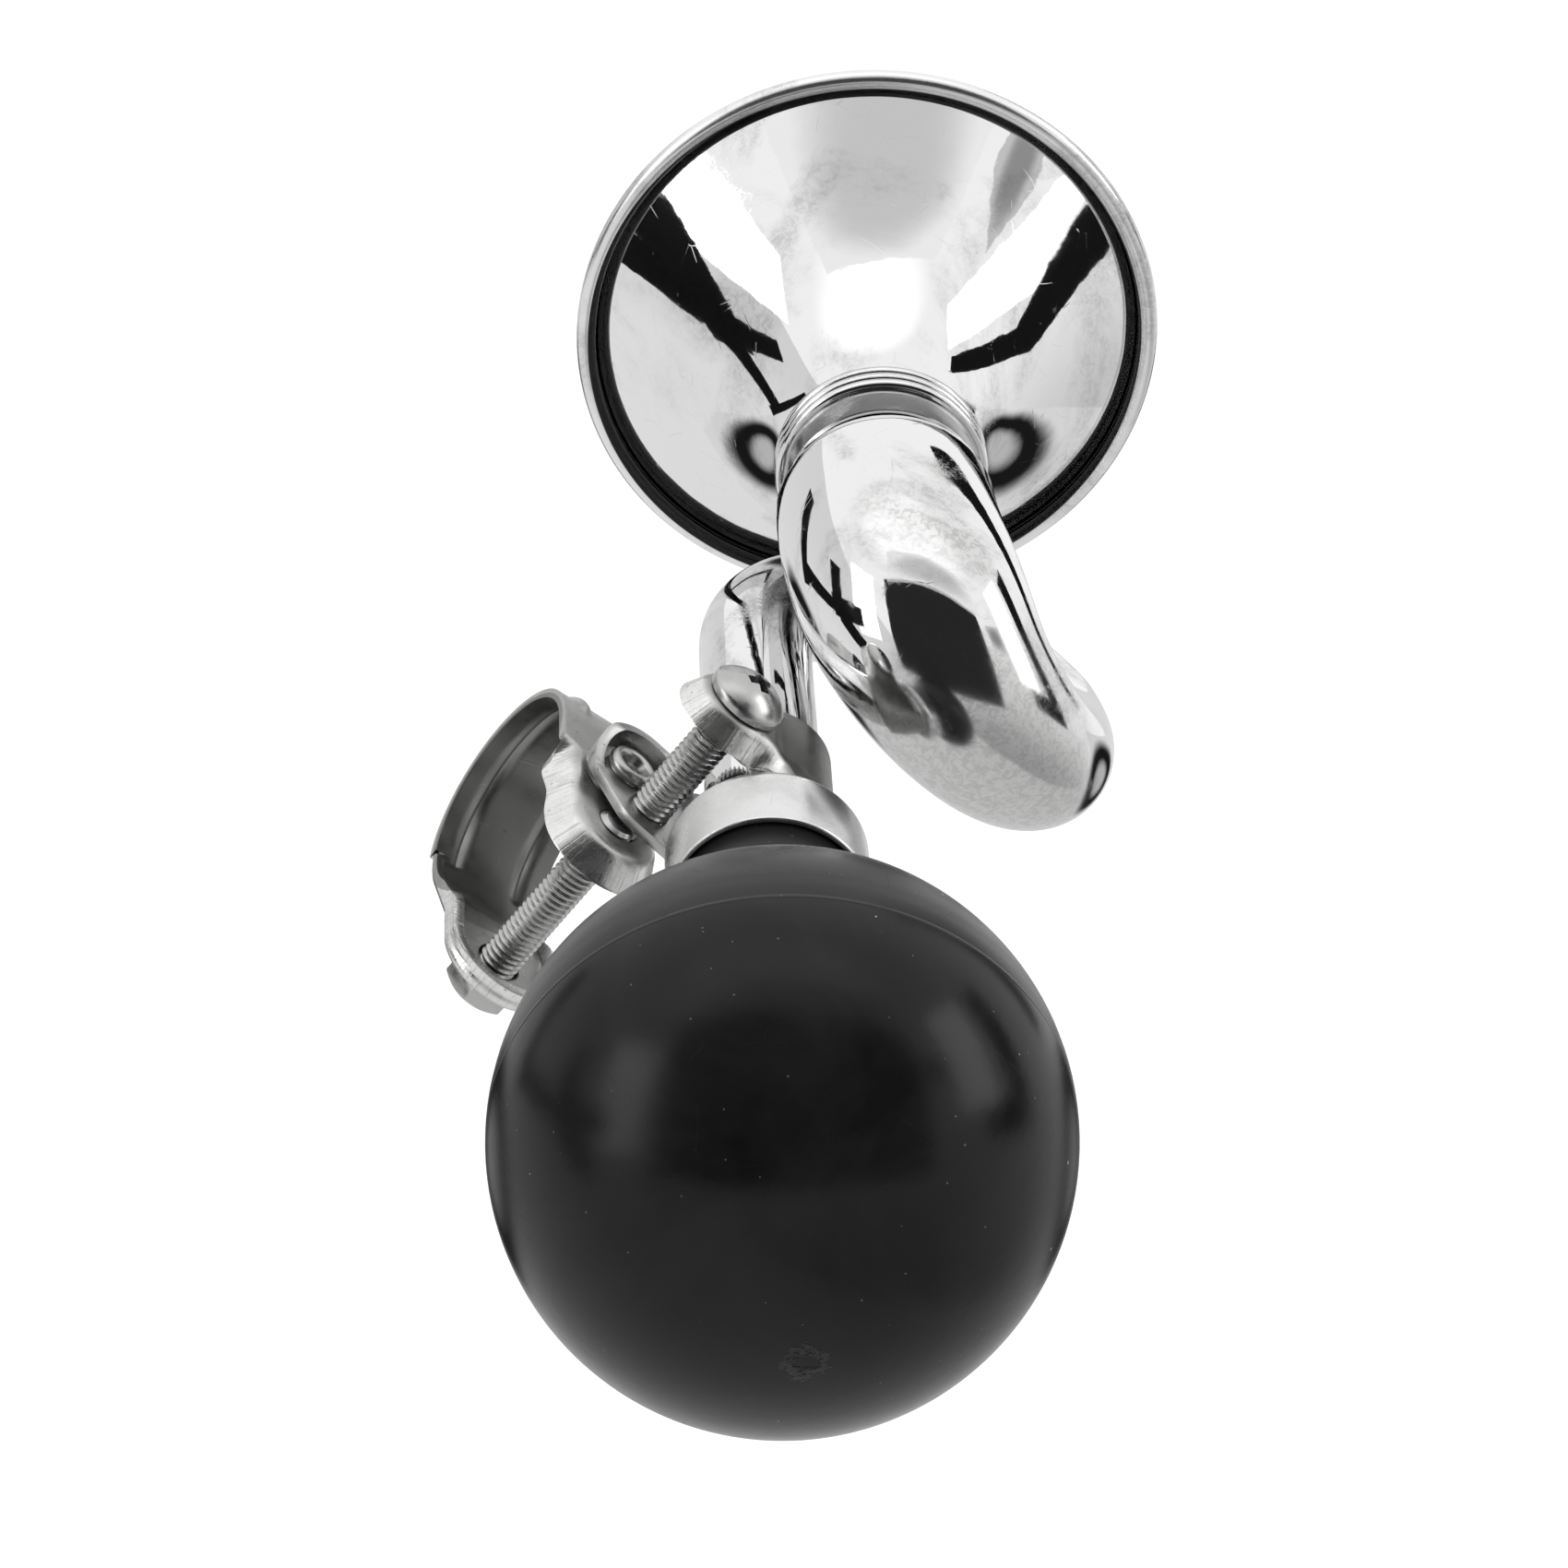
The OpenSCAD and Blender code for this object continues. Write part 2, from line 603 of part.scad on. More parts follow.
module ferrule() {
    color(chrome) along_horn(tube_x, ferrule_back_y, tube_z) rotate_extrude() difference() {
        cup_section(ferrule_r, ferrule_l, ferrule_round);
        translate([0, -1])
            cup_section(ferrule_r - ferrule_t, ferrule_l - ferrule_t + 1,
                ferrule_round - ferrule_t);
        square([tube_r + seat_gap, ferrule_l + 1]);
    }
}

// Flanged tube inside the bulb's neck
module bulb_nipple() {
    flange_r = ferrule_r - ferrule_round - 0.2;
    color(brass) along_horn(tube_x, ferrule_wall_y - nipple_l, tube_z) difference() {
        union() {
            cylinder(h = nipple_l, r = nipple_r);
            translate([0, 0, nipple_l - flange_t]) cylinder(h = flange_t, r = flange_r);
        }
        translate([0, 0, -1]) cylinder(h = nipple_l + 2, r = tube_r + turn_gap);
    }
}

// Outline of the bulb and its neck in half section
module bulb_section(r, neck, fillet, neck_end) {
    web_x = neck + fillet;
    web_y = sqrt(pow(r + fillet, 2) - pow(web_x, 2));
    touch = r / (r + fillet);
    intersection() {
        circle(r);
        translate([0, -r]) square([r, 2 * r]);
    }
    square([neck, neck_end]);
    difference() {
        polygon([[0, 0], [web_x * touch, web_y * touch], [web_x, web_y], [neck, web_y],
            [0, web_y]]);
        translate([web_x, web_y]) circle(fillet);
    }
}

// Hollow rubber bulb, its neck gripped between the ferrule and the nipple
module bulb() {
    neck_end = ferrule_wall_y - flange_t - 0.3 - bulb_y;
    color(rubber) along_horn(tube_x, bulb_y, tube_z) rotate_extrude() difference() {
        bulb_section(bulb_r, neck_r, neck_fillet, neck_end);
        circle(bulb_r - bulb_t);
        square([nipple_r + 2 * turn_gap, neck_end + 1]);
    }
}

module reed_plug() {
    color(brass) along_horn(tube_x, plug_back_y, tube_z) difference() {
        cylinder(h = plug_l, r = tube_r + turn_gap - seat_gap);
        translate([0, 0, -1]) cylinder(h = plug_l + 2, r = shallot_r + seat_gap);
    }
}

// Round reed tube, closed at its rear end, with a flat opened into its bore
module reed_shallot() {
    end_t = 1;
    full_l = shallot_l + plug_l + 1;
    color(brass) along_horn(tube_x, shallot_back_y, tube_z) difference() {
        cylinder(h = full_l, r = shallot_r);
        translate([0, 0, end_t]) cylinder(h = full_l, r = shallot_r - shallot_t);
        rotate([90, 0, 0]) translate([-shallot_d, -1, flat_h])
            cube([2 * shallot_d, shallot_l + 0.7, shallot_d]);
    }
}

// Thin strip over the shallot's flat, held at its root by the clip
module reed_tongue() {
    tongue_l = shallot_l - 1;
    color(brass) translate([tube_x - tongue_w / 2, shallot_back_y + 0.5, tube_z + tongue_lift])
        cube([tongue_w, tongue_l, tongue_t]);
}

// Ring round the shallot and the tongue's root
module reed_clip() {
    side_gap = 0.15;
    clip_r = shallot_r + 1;
    slot_w = tongue_w + 2 * side_gap;
    color(brass) along_horn(tube_x, plug_back_y - 0.6 - clip_l, tube_z) difference() {
        cylinder(h = clip_l, r = clip_r);
        translate([0, 0, -1]) cylinder(h = clip_l + 2, r = shallot_r + seat_gap);
        rotate([90, 0, 0]) translate([-slot_w / 2, -1, 0])
            cube([slot_w, clip_l + 2, tongue_lift + tongue_t + side_gap]);
    }
}

handlebar_band();
swivel_pin();
swivel_washer();
bar_clamp_screw();
tube_clamp();
tube_clamp_screw();
coiled_tube();
throat_sleeve();
throat_collar();
bell();
rim_wire();
ferrule();
bulb_nipple();
bulb();
reed_plug();
reed_shallot();
reed_tongue();
reed_clip();
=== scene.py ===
"""Looks of a squeeze-bulb bugle horn with its handlebar bracket."""
import math

import bmesh
import bpy
from mathutils import Matrix, Vector


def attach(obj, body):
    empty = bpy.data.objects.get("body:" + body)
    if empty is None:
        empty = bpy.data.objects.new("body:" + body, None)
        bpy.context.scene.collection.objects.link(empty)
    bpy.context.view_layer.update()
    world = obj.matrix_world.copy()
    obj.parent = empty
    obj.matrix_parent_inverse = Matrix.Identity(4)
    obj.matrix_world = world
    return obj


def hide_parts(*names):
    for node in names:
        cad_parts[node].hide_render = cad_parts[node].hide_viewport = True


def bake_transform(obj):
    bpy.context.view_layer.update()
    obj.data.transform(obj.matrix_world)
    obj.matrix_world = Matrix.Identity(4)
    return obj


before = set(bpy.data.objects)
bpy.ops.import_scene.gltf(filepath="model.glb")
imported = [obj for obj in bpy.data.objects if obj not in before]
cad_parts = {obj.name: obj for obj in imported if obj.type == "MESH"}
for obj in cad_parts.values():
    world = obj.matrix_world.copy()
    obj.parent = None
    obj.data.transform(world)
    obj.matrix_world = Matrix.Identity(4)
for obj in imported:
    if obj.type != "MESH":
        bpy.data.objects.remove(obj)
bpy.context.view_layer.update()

MM = 0.001

# Main sizes in millimetres, as in the part's source
TUBE_X, TUBE_Z, TUBE_R = 13.0, 24.4, 6.8
BELL_X, BELL_Z = 16.2, 46.4
LOOP_START = 18.9
SLEEVE_Y, NECK_Y, BELL_L = 28.4, 38.4, 31.3
SLEEVE_L, COLLAR_L = 10.0, 4.8
THROAT_R, SLEEVE_R = 11.55, 12.12
BELL_R, ROLL_R, BELL_T, BEAD_R = 37.2, 1.6, 0.6, 1.25
FERRULE_BACK, FERRULE_L, FERRULE_R, FERRULE_T = -35.1, 10.7, 11.5, 0.7
BULB_Y, BULB_R, NECK_R = -78.3, 30.6, 10.5
NECK_END, NECK_BORE, RUBBER_T = -26.4, 7.75, 2.4
BAR_SCREW_Y, SWIVEL_Y = -17.95, -9.3
TUBE_SCREW_X, TUBE_SCREW_Y = 3.0, -14.4
BAR_R, BAND_R, BAND_W, SHEET = 12.7, 13.9, 15.0, 1.2
ARM_Z, TOP_EAR_Z, LOW_EAR_Z = 14.9, 33.9, -10.7
SCREW_R, HEX_ACROSS, HEX_L = 2.45, 8.0, 3.5
HEX_CORNER = HEX_ACROSS / math.sqrt(3)


# Shapes

def arc(cx, cy, r, start, end, count):
    """Points of an arc from start to end, in degrees."""
    return [(cx + r * math.cos(math.radians(start + (end - start) * i / count)),
             cy + r * math.sin(math.radians(start + (end - start) * i / count)))
            for i in range(count + 1)]


def bezier(p0, p1, p2, count):
    """Points of a curve that leaves p0 towards p1 and ends at p2."""
    points = []
    for i in range(count + 1):
        s = i / count
        points.append(tuple((1 - s) ** 2 * a + 2 * s * (1 - s) * b + s * s * c
                            for a, b, c in zip(p0, p1, p2)))
    return points


def to_object(bm, name, angle=35, outward=True):
    """Turns a finished bmesh in millimetres into an object with smooth faces."""
    bmesh.ops.remove_doubles(bm, verts=bm.verts, dist=0.0005)
    if outward:
        bmesh.ops.recalc_face_normals(bm, faces=bm.faces)
    bmesh.ops.scale(bm, vec=(MM, MM, MM), verts=bm.verts)
    mesh = bpy.data.meshes.new(name)
    bm.to_mesh(mesh)
    bm.free()
    mesh.validate()
    mesh.shade_smooth()
    mesh.set_sharp_from_angle(angle=math.radians(angle))
    obj = bpy.data.objects.new(name, mesh)
    bpy.context.scene.collection.objects.link(obj)
    return obj


def bake(obj):
    """Turns an object's live modifiers into its mesh."""
    graph = bpy.context.evaluated_depsgraph_get()
    mesh = bpy.data.meshes.new_from_object(obj.evaluated_get(graph))
    obj.modifiers.clear()
    old = obj.data
    obj.data = mesh
    bpy.data.meshes.remove(old)
    obj.data.shade_smooth()
    obj.data.set_sharp_from_angle(angle=math.radians(40))


def ease_edges(obj, width, segments, angle):
    """Rounds the edges that are sharper than angle."""
    rounded = obj.modifiers.new("edges", "BEVEL")
    rounded.width = width * MM
    rounded.segments = segments
    rounded.limit_method = "ANGLE"
    rounded.angle_limit = math.radians(angle)
    bake(obj)


def cut_away(obj, cutter, kind="DIFFERENCE"):
    """Cuts an object by another closed shape, which is then dropped."""
    cut = obj.modifiers.new("cut", "BOOLEAN")
    cut.operation = kind
    cut.solver = "EXACT"
    cut.use_self = True
    cut.object = cutter
    bake(obj)
    bpy.data.objects.remove(cutter)


def taken_apart(obj):
    """An object's mesh as a bmesh in millimetres, cleaned, with the object removed."""
    bm = bmesh.new()
    bm.from_mesh(obj.data)
    bmesh.ops.scale(bm, vec=(1 / MM, 1 / MM, 1 / MM), verts=bm.verts)
    bmesh.ops.dissolve_degenerate(bm, edges=bm.edges, dist=0.001)
    bpy.data.objects.remove(obj)
    return bm


def spun(bm, profile, centre, axis="Y", steps=96, closed=True):
    """Spins a profile of (radius, distance) points about an axis through centre."""
    kept = set(bm.verts)
    made = []
    for r, d in profile:
        made.append(bm.verts.new((r, d, 0) if axis == "Y" else (r, 0, d)))
    edges = [bm.edges.new(pair) for pair in zip(made, made[1:])]
    if closed:
        edges.append(bm.edges.new((made[-1], made[0])))
    turn = (0, 1, 0) if axis == "Y" else (0, 0, 1)
    bmesh.ops.spin(bm, geom=made + edges, cent=(0, 0, 0), axis=turn,
                   angle=2 * math.pi, steps=steps, use_merge=True)
    bmesh.ops.translate(bm, vec=centre, verts=[v for v in bm.verts if v not in kept])


def turned(name, profile, centre, axis="Y", steps=96, closed=True, angle=35):
    """A turned piece: a profile spun about an axis."""
    bm = bmesh.new()
    spun(bm, profile, centre, axis, steps, closed)
    return to_object(bm, name, angle)


# Camera

def make_camera():
    """Camera at the photograph's place, rolled as the photograph is."""
    data = bpy.data.cameras.new("camera")
    data.sensor_width = 36
    data.lens = 107.2
    data.clip_start, data.clip_end = 0.01, 50
    cam = bpy.data.objects.new("camera", data)
    right = Vector((0.794, -0.034, 0.606)).normalized()
    back = Vector((-0.352, -0.839, 0.414))
    back = (back - right * back.dot(right)).normalized()
    up = back.cross(right)
    turn = Matrix((right, up, back)).transposed().to_4x4()
    cam.matrix_world = Matrix.Translation(Vector((-174.5, -462.2, 248.8)) * MM) @ turn
    bpy.context.scene.collection.objects.link(cam)
    bpy.context.scene.camera = cam
    return right, up, back


RIGHT, UP, BACK = make_camera()


# Materials

def grey(level, tint=1.0):
    """A grey whose blue is turned down by tint."""
    return (level, level, level * tint, 1)


class Nodes:
    """A material or group's node tree with short calls for its nodes and links."""

    def __init__(self, tree):
        self.tree = tree

    def add(self, kind, inputs=None, **settings):
        node = self.tree.nodes.new(kind)
        for key, value in settings.items():
            setattr(node, key, value)
        for key, value in (inputs or {}).items():
            self.set(node.inputs[key], value)
        return node

    def set(self, socket, value):
        if isinstance(value, bpy.types.NodeSocket):
            self.tree.links.new(value, socket)
        else:
            socket.default_value = value

    def noise(self, vector, scale, detail=4.0, rough=0.55, distortion=0.0):
        return self.add("ShaderNodeTexNoise", {"Vector": vector, "Scale": scale, "Detail": detail,
                        "Roughness": rough, "Distortion": distortion}).outputs["Fac"]

    def ramp(self, value, low, high, to_low=0.0, to_high=1.0):
        node = self.add("ShaderNodeMapRange", {"Value": value, "From Min": low, "From Max": high,
                        "To Min": to_low, "To Max": to_high}, interpolation_type="SMOOTHSTEP")
        return node.outputs["Result"]

    def math(self, kind, a, b=0.0):
        node = self.add("ShaderNodeMath", operation=kind)
        self.set(node.inputs[0], a)
        self.set(node.inputs[1], b)
        return node.outputs[0]

    def times(self, a, b):
        return self.math("MULTIPLY", a, b)

    def distance(self, a, b):
        node = self.add("ShaderNodeVectorMath", {0: a, 1: b}, operation="DISTANCE")
        return node.outputs["Value"]

    def mix(self, fac, a, b):
        node = self.add("ShaderNodeMix", data_type="RGBA")
        self.set(node.inputs[0], fac)
        self.set(node.inputs[6], a)
        self.set(node.inputs[7], b)
        return node.outputs[2]

    def bump(self, height, distance, strength=1.0, normal=None):
        node = self.add("ShaderNodeBump", {"Height": height, "Distance": distance,
                        "Strength": strength})
        if normal is not None:
            self.set(node.inputs["Normal"], normal)
        return node.outputs["Normal"]


def new_group(name, inputs, outputs):
    """A shader node group with float inputs as (name, default) and named outputs."""
    tree = bpy.data.node_groups.new(name, "ShaderNodeTree")
    tree.interface.new_socket("Vector", in_out="INPUT", socket_type="NodeSocketVector")
    for label, value in inputs:
        socket = tree.interface.new_socket(label, in_out="INPUT", socket_type="NodeSocketFloat")
        socket.default_value = value
    for label in outputs:
        tree.interface.new_socket(label, in_out="OUTPUT", socket_type="NodeSocketFloat")
    n = Nodes(tree)
    return n, n.add("NodeGroupInput").outputs, n.add("NodeGroupOutput").inputs


def haze_group():
    """Cloudy patches with fine crystals in them, as on tarnished plating."""
    n, i, o = new_group("haze", [("Patch scale", 60.0), ("Cover", 0.5)], ["Mask", "Grain"])
    cloud = n.noise(i["Vector"], i["Patch scale"], 5.0, 0.6, 0.6)
    low = n.math("SUBTRACT", 1.0, i["Cover"])
    edge = n.math("ADD", low, 0.14)
    patch = n.add("ShaderNodeMapRange", {"Value": cloud, "From Min": low, "From Max": edge},
                  interpolation_type="SMOOTHSTEP").outputs["Result"]
    grain = n.noise(i["Vector"], 1500.0, 4.0, 0.7, 1.5)
    fleck = n.ramp(grain, 0.45, 0.62)
    n.set(o["Mask"], patch)
    n.set(o["Grain"], n.times(patch, fleck))
    return n.tree


def dust_group():
    """Sparse pale specks of dust."""
    n, i, o = new_group("dust", [("Scale", 260.0), ("Size", 0.1)], ["Specks"])
    cell = n.add("ShaderNodeTexVoronoi", {"Vector": i["Vector"], "Scale": i["Scale"]},
                 voronoi_dimensions="3D")
    near = n.math("LESS_THAN", cell.outputs["Distance"], i["Size"])
    rare = n.add("ShaderNodeSeparateColor", {"Color": cell.outputs["Color"]})
    pick = n.math("GREATER_THAN", rare.outputs[0], 0.86)
    n.set(o["Specks"], n.times(near, pick))
    return n.tree


def scratch_group():
    """Fine hair scratches that run in many directions."""
    n, i, o = new_group("scratches", [("Scale", 90.0)], ["Lines"])
    warp = n.add("ShaderNodeTexNoise", {"Vector": i["Vector"], "Scale": 25.0, "Detail": 2.0})
    bent = n.add("ShaderNodeVectorMath", {0: i["Vector"], 1: warp.outputs["Color"]},
                 operation="MULTIPLY_ADD")
    n.set(bent.inputs[2], i["Vector"])
    cell = n.add("ShaderNodeTexVoronoi", {"Vector": bent.outputs[0], "Scale": i["Scale"]},
                 feature="DISTANCE_TO_EDGE")
    line = n.ramp(cell.outputs["Distance"], 0.0, 0.012, 1.0, 0.0)
    some = n.ramp(n.noise(i["Vector"], 300.0), 0.52, 0.62)
    n.set(o["Lines"], n.times(line, some))
    return n.tree


HAZE, DUST, SCRATCHES = haze_group(), dust_group(), scratch_group()


def material(name, colour, metallic, roughness):
    """A new material with its shader, and the Object coordinates to drive it."""
    mat = bpy.data.materials.new(name)
    mat.use_nodes = True
    tree = mat.node_tree
    shader = tree.nodes["Principled BSDF"]
    shader.inputs["Base Color"].default_value = (*colour, 1)
    shader.inputs["Metallic"].default_value = metallic
    shader.inputs["Roughness"].default_value = roughness
    n = Nodes(tree)
    place = n.add("ShaderNodeTexCoord").outputs["Object"]
    return mat, n, shader, place


def use_group(n, tree, place, **values):
    """The outputs of a group placed in a material with its own values."""
    node = n.add("ShaderNodeGroup", node_tree=tree)
    n.set(node.inputs["Vector"], place)
    for key, value in values.items():
        n.set(node.inputs[key.replace("_", " ")], value)
    return node.outputs


def plated(name, tone, polish, haze_rough, cover, patch_scale=55.0, wave=0.00004, groove=False,
           cloudy=1.0, dull_spot=None):
    """Bright plating: mirror-like, with tarnished clouds, hair scratches and slight waves."""
    mat, n, shader, place = material(name, (tone, tone, tone), 1.0, polish)
    haze = use_group(n, HAZE, place, Patch_scale=patch_scale, Cover=cover)
    hair = use_group(n, SCRATCHES, place, Scale=90.0)["Lines"]
    rough = n.math("MULTIPLY_ADD", haze["Mask"], haze_rough)
    rough.node.inputs[2].default_value = polish
    rough = n.math("ADD", rough, n.times(haze["Grain"], haze_rough * 1.5))
    rough = n.math("ADD", rough, n.times(hair, 0.08))
    cloud = n.ramp(n.noise(place, 38.0, 6.0, 0.62, 0.6), 0.48, 0.62)
    crackle = n.ramp(n.noise(place, 1100.0, 5.0, 0.7, 0.9), 0.42, 0.6, 0.45, 1.0)
    shade = n.times(n.times(cloud, crackle), cloudy)
    if dull_spot is not None:
        off = n.distance(place, Vector(dull_spot) * MM)
        spread = n.ramp(n.noise(place, 60.0, 5.0, 0.6), 0.3, 0.7, -0.004, 0.004)
        near = n.ramp(n.math("ADD", off, spread), 0.016, 0.025, 1.0, 0.0)
        near = n.times(near, n.ramp(crackle, 0.4, 1.0, 0.7, 1.0))
        shade = n.math("MAXIMUM", shade, near)
    low = tone * 0.6
    pale = n.mix(n.times(haze["Mask"], 0.7), grey(tone),
                 (tone * 0.86, tone * 0.86, tone * 0.85, 1))
    base = n.mix(shade, pale, grey(low, 0.99))
    base = n.mix(n.times(haze["Grain"], 0.5 * cloudy), base, grey(low))
    base = n.mix(n.times(hair, 0.35), base, grey(low))
    # On the bell, the groove behind the rolled rim is painted near black: painted shade. The rim there is
    # also made rougher.
    if groove:
        rim, dark = bell_rim(n, place)
        base = n.mix(dark, base, grey(0.035))
        rough = n.math("ADD", rough, n.times(rim, 0.2))
    n.set(shader.inputs["Base Color"], base)
    n.set(shader.inputs["Roughness"], n.math("ADD", rough, n.times(shade, haze_rough)))
    normal = n.bump(n.noise(place, 90.0, 2.0), wave)
    normal = n.bump(n.noise(place, 520.0, 2.0), wave * 0.06, 1.0, normal)
    normal = n.bump(haze["Grain"], 0.00001, 0.5, normal)
    n.set(shader.inputs["Normal"], n.bump(hair, -0.000004, 0.6, normal))
    return mat


def bell_rim(n, place):
    """Masks of the rolled rim seen from behind, and of the groove on its inner side, which is painted near
    black as painted shade.
    """
    front = NECK_Y + BELL_L + ROLL_R - 0.6
    inside, beyond = BELL_R - 2 * BEAD_R - 0.05, BELL_R - 1.8
    flat = n.add("ShaderNodeVectorMath", {0: place, 1: (1, 0, 1)}, operation="MULTIPLY").outputs[0]
    centre = Vector((BELL_X, 0, BELL_Z)) * MM
    from_axis = n.distance(flat, centre)
    from_groove = n.distance(flat, centre + Vector((-0.05, 0, -0.5)) * MM)
    along = n.add("ShaderNodeSeparateXYZ", {0: place}).outputs["Y"]
    rear = n.ramp(along, front * MM, (front + 0.1) * MM, 1.0, 0.0)
    rim = n.times(rear, n.ramp(from_axis, inside * MM, (inside + 0.02) * MM))
    return rim, n.times(rim, n.ramp(from_groove, beyond * MM, (beyond + 0.1) * MM, 1.0, 0.0))


def zinc(name, tone=0.5, rough=0.3, sheet=False, worn=1.0):
    """Dull zinc plate. On bent sheet, bends painted lighter as a painted sheen, stretch lines and a darker
    inside.
    """
    mat, n, shader, place = material(name, (tone, tone, tone * 0.98), 1.0, rough)
    mottle = n.noise(place, 420.0, 5.0, 0.65, 0.4)
    grime = n.ramp(n.noise(place, 160.0, 5.0, 0.6, 0.8), 0.56, 0.76)
    hair = use_group(n, SCRATCHES, place, Scale=150.0)["Lines"]
    fleck = use_group(n, DUST, place, Scale=700.0, Size=0.13)["Specks"]
    low, high = tone * (1 - 0.08 * worn), tone * (1 + 0.08 * worn)
    base = n.mix(n.ramp(mottle, 0.35, 0.65), grey(low, 0.99), grey(high, 0.99))
    level = n.ramp(mottle, 0.3, 0.7, rough - 0.05, rough + 0.07)
    normal = n.bump(mottle, 0.00001, 0.4 * worn)
    if sheet:
        # Painted sheen: the sheet is painted light where its edges bend away and dark where flat, and the
        # inside of the band darker still; the bends are also a little smoother
        painted_sheen = n.add("ShaderNodeAttribute", attribute_name="painted_sheen").outputs["Fac"]
        along = n.add("ShaderNodeAttribute", attribute_name="along").outputs["Fac"]
        side = n.add("ShaderNodeVectorMath", {0: place, 1: (0, 1, 1)}, operation="MULTIPLY").outputs[0]
        off_axis = n.add("ShaderNodeVectorMath", {0: side}, operation="LENGTH").outputs["Value"]
        middle = (BAND_R - SHEET / 2) * MM
        inside = n.ramp(off_axis, middle - 0.05 * MM, middle + 0.1 * MM, 1.0, 0.0)
        painted_sheen = n.times(painted_sheen, n.math("SUBTRACT", 1.0, n.times(inside, 0.75)))
        base = n.mix(painted_sheen, (0.17, 0.17, 0.167, 1), (0.84, 0.84, 0.825, 1))
        base = n.mix(n.ramp(mottle, 0.35, 0.65, 0.0, 0.18), base, grey(0.3))
        lines = n.noise(n.add("ShaderNodeCombineXYZ", {0: along, 1: n.times(mottle, 0.8)}
                              ).outputs[0], 2.6, 3.0, 0.6)
        lined = n.times(n.ramp(lines, 0.5, 0.66), n.ramp(painted_sheen, 0.55, 0.95))
        base = n.mix(n.times(lined, 0.45), base, (0.28, 0.28, 0.275, 1))
        normal = n.bump(lined, -0.00002, 0.6, normal)
        level = n.math("ADD", n.times(painted_sheen, -0.1), n.math("ADD", level, 0.06))
    base = n.mix(n.times(grime, 0.6 * worn), base, grey(tone * 0.5, 0.96))
    base = n.mix(n.times(fleck, 0.5), base, (tone * 0.3, tone * 0.3, tone * 0.28, 1))
    base = n.mix(n.times(hair, 0.4), base, grey(high))
    n.set(shader.inputs["Base Color"], base)
    n.set(shader.inputs["Roughness"], n.math("ADD", level, n.times(grime, 0.12)))
    n.set(shader.inputs["Normal"], n.bump(hair, -0.00001, 0.5 * worn, normal))
    return mat


def rubber(name):
    """Black moulded rubber: satin, faintly cloudy, with a parting line, a scar and dust; its half towards
    the neck is painted lighter as a painted reflection.
    """
    mat, n, shader, place = material(name, (0.012, 0.012, 0.013), 0.0, 0.38)
    shader.inputs["Specular IOR Level"].default_value = 0.22
    cloud = n.noise(place, 45.0, 4.0, 0.6, 0.5)
    dust = use_group(n, DUST, place, Scale=330.0, Size=0.07)["Specks"]
    fine = use_group(n, DUST, place, Scale=900.0, Size=0.1)["Specks"]
    hair = use_group(n, SCRATCHES, place, Scale=60.0)["Lines"]
    along = n.add("ShaderNodeSeparateXYZ", {0: place}).outputs["Y"]
    from_line = n.math("ABSOLUTE", n.math("SUBTRACT", along, BULB_Y * MM))
    line = n.ramp(from_line, 0.00010, 0.00035, 1.0, 0.0)
    # front: the half towards the neck, painted lighter as a painted reflection, and also made a little
    # rougher
    front = n.ramp(along, (BULB_Y - 0.3) * MM, (BULB_Y + 0.3) * MM)
    scar_at = Vector((TUBE_X + 0.111 * BULB_R, BULB_Y - 0.99 * BULB_R, TUBE_Z - 0.086 * BULB_R)) * MM
    off = n.distance(place, scar_at)
    torn = n.math("ADD", off, n.ramp(n.noise(place, 700.0, 4.0, 0.7), 0.3, 0.7, -0.0007, 0.0007))
    scar = n.ramp(torn, 0.0009, 0.0015, 1.0, 0.0)
    ring = n.times(n.ramp(torn, 0.0013, 0.0017), n.ramp(torn, 0.0019, 0.0024, 1.0, 0.0))
    base = n.mix(n.ramp(cloud, 0.35, 0.7), (0.004, 0.004, 0.0045, 1), (0.009, 0.009, 0.0095, 1))
    base = n.mix(n.times(front, 0.5), base, (0.016, 0.016, 0.017, 1))
    base = n.mix(n.times(line, 0.5), base, grey(0.03))
    base = n.mix(n.times(ring, 0.5), base, grey(0.035))
    base = n.mix(n.times(fine, 0.25), base, grey(0.3))
    n.set(shader.inputs["Base Color"], n.mix(n.times(dust, 0.6), base, grey(0.45)))
    level = n.ramp(cloud, 0.3, 0.75, 0.18, 0.28)
    level = n.math("ADD", level, n.times(front, 0.08))
    level = n.math("ADD", level, n.times(hair, 0.1))
    n.set(shader.inputs["Roughness"], n.math("ADD", level, n.times(scar, 0.2)))
    normal = n.bump(n.noise(place, 2600.0, 3.0), 0.000006, 0.6)
    normal = n.bump(cloud, 0.0002, 0.5, normal)
    normal = n.bump(line, 0.00008, 0.8, normal)
    n.set(shader.inputs["Normal"], n.bump(n.math("SUBTRACT", ring, scar), 0.00025, 1.0, normal))
    return mat


def brass(name):
    """Dull brass with a faint cloud."""
    mat, n, shader, place = material(name, (0.66, 0.47, 0.2), 1.0, 0.3)
    cloud = n.noise(place, 300.0, 4.0, 0.6)
    n.set(shader.inputs["Base Color"], n.mix(cloud, (0.5, 0.34, 0.14, 1), (0.75, 0.56, 0.26, 1)))
    n.set(shader.inputs["Roughness"], n.ramp(cloud, 0.3, 0.7, 0.22, 0.4))
    n.set(shader.inputs["Normal"], n.bump(n.noise(place, 1500.0), 0.00001, 0.5))
    return mat


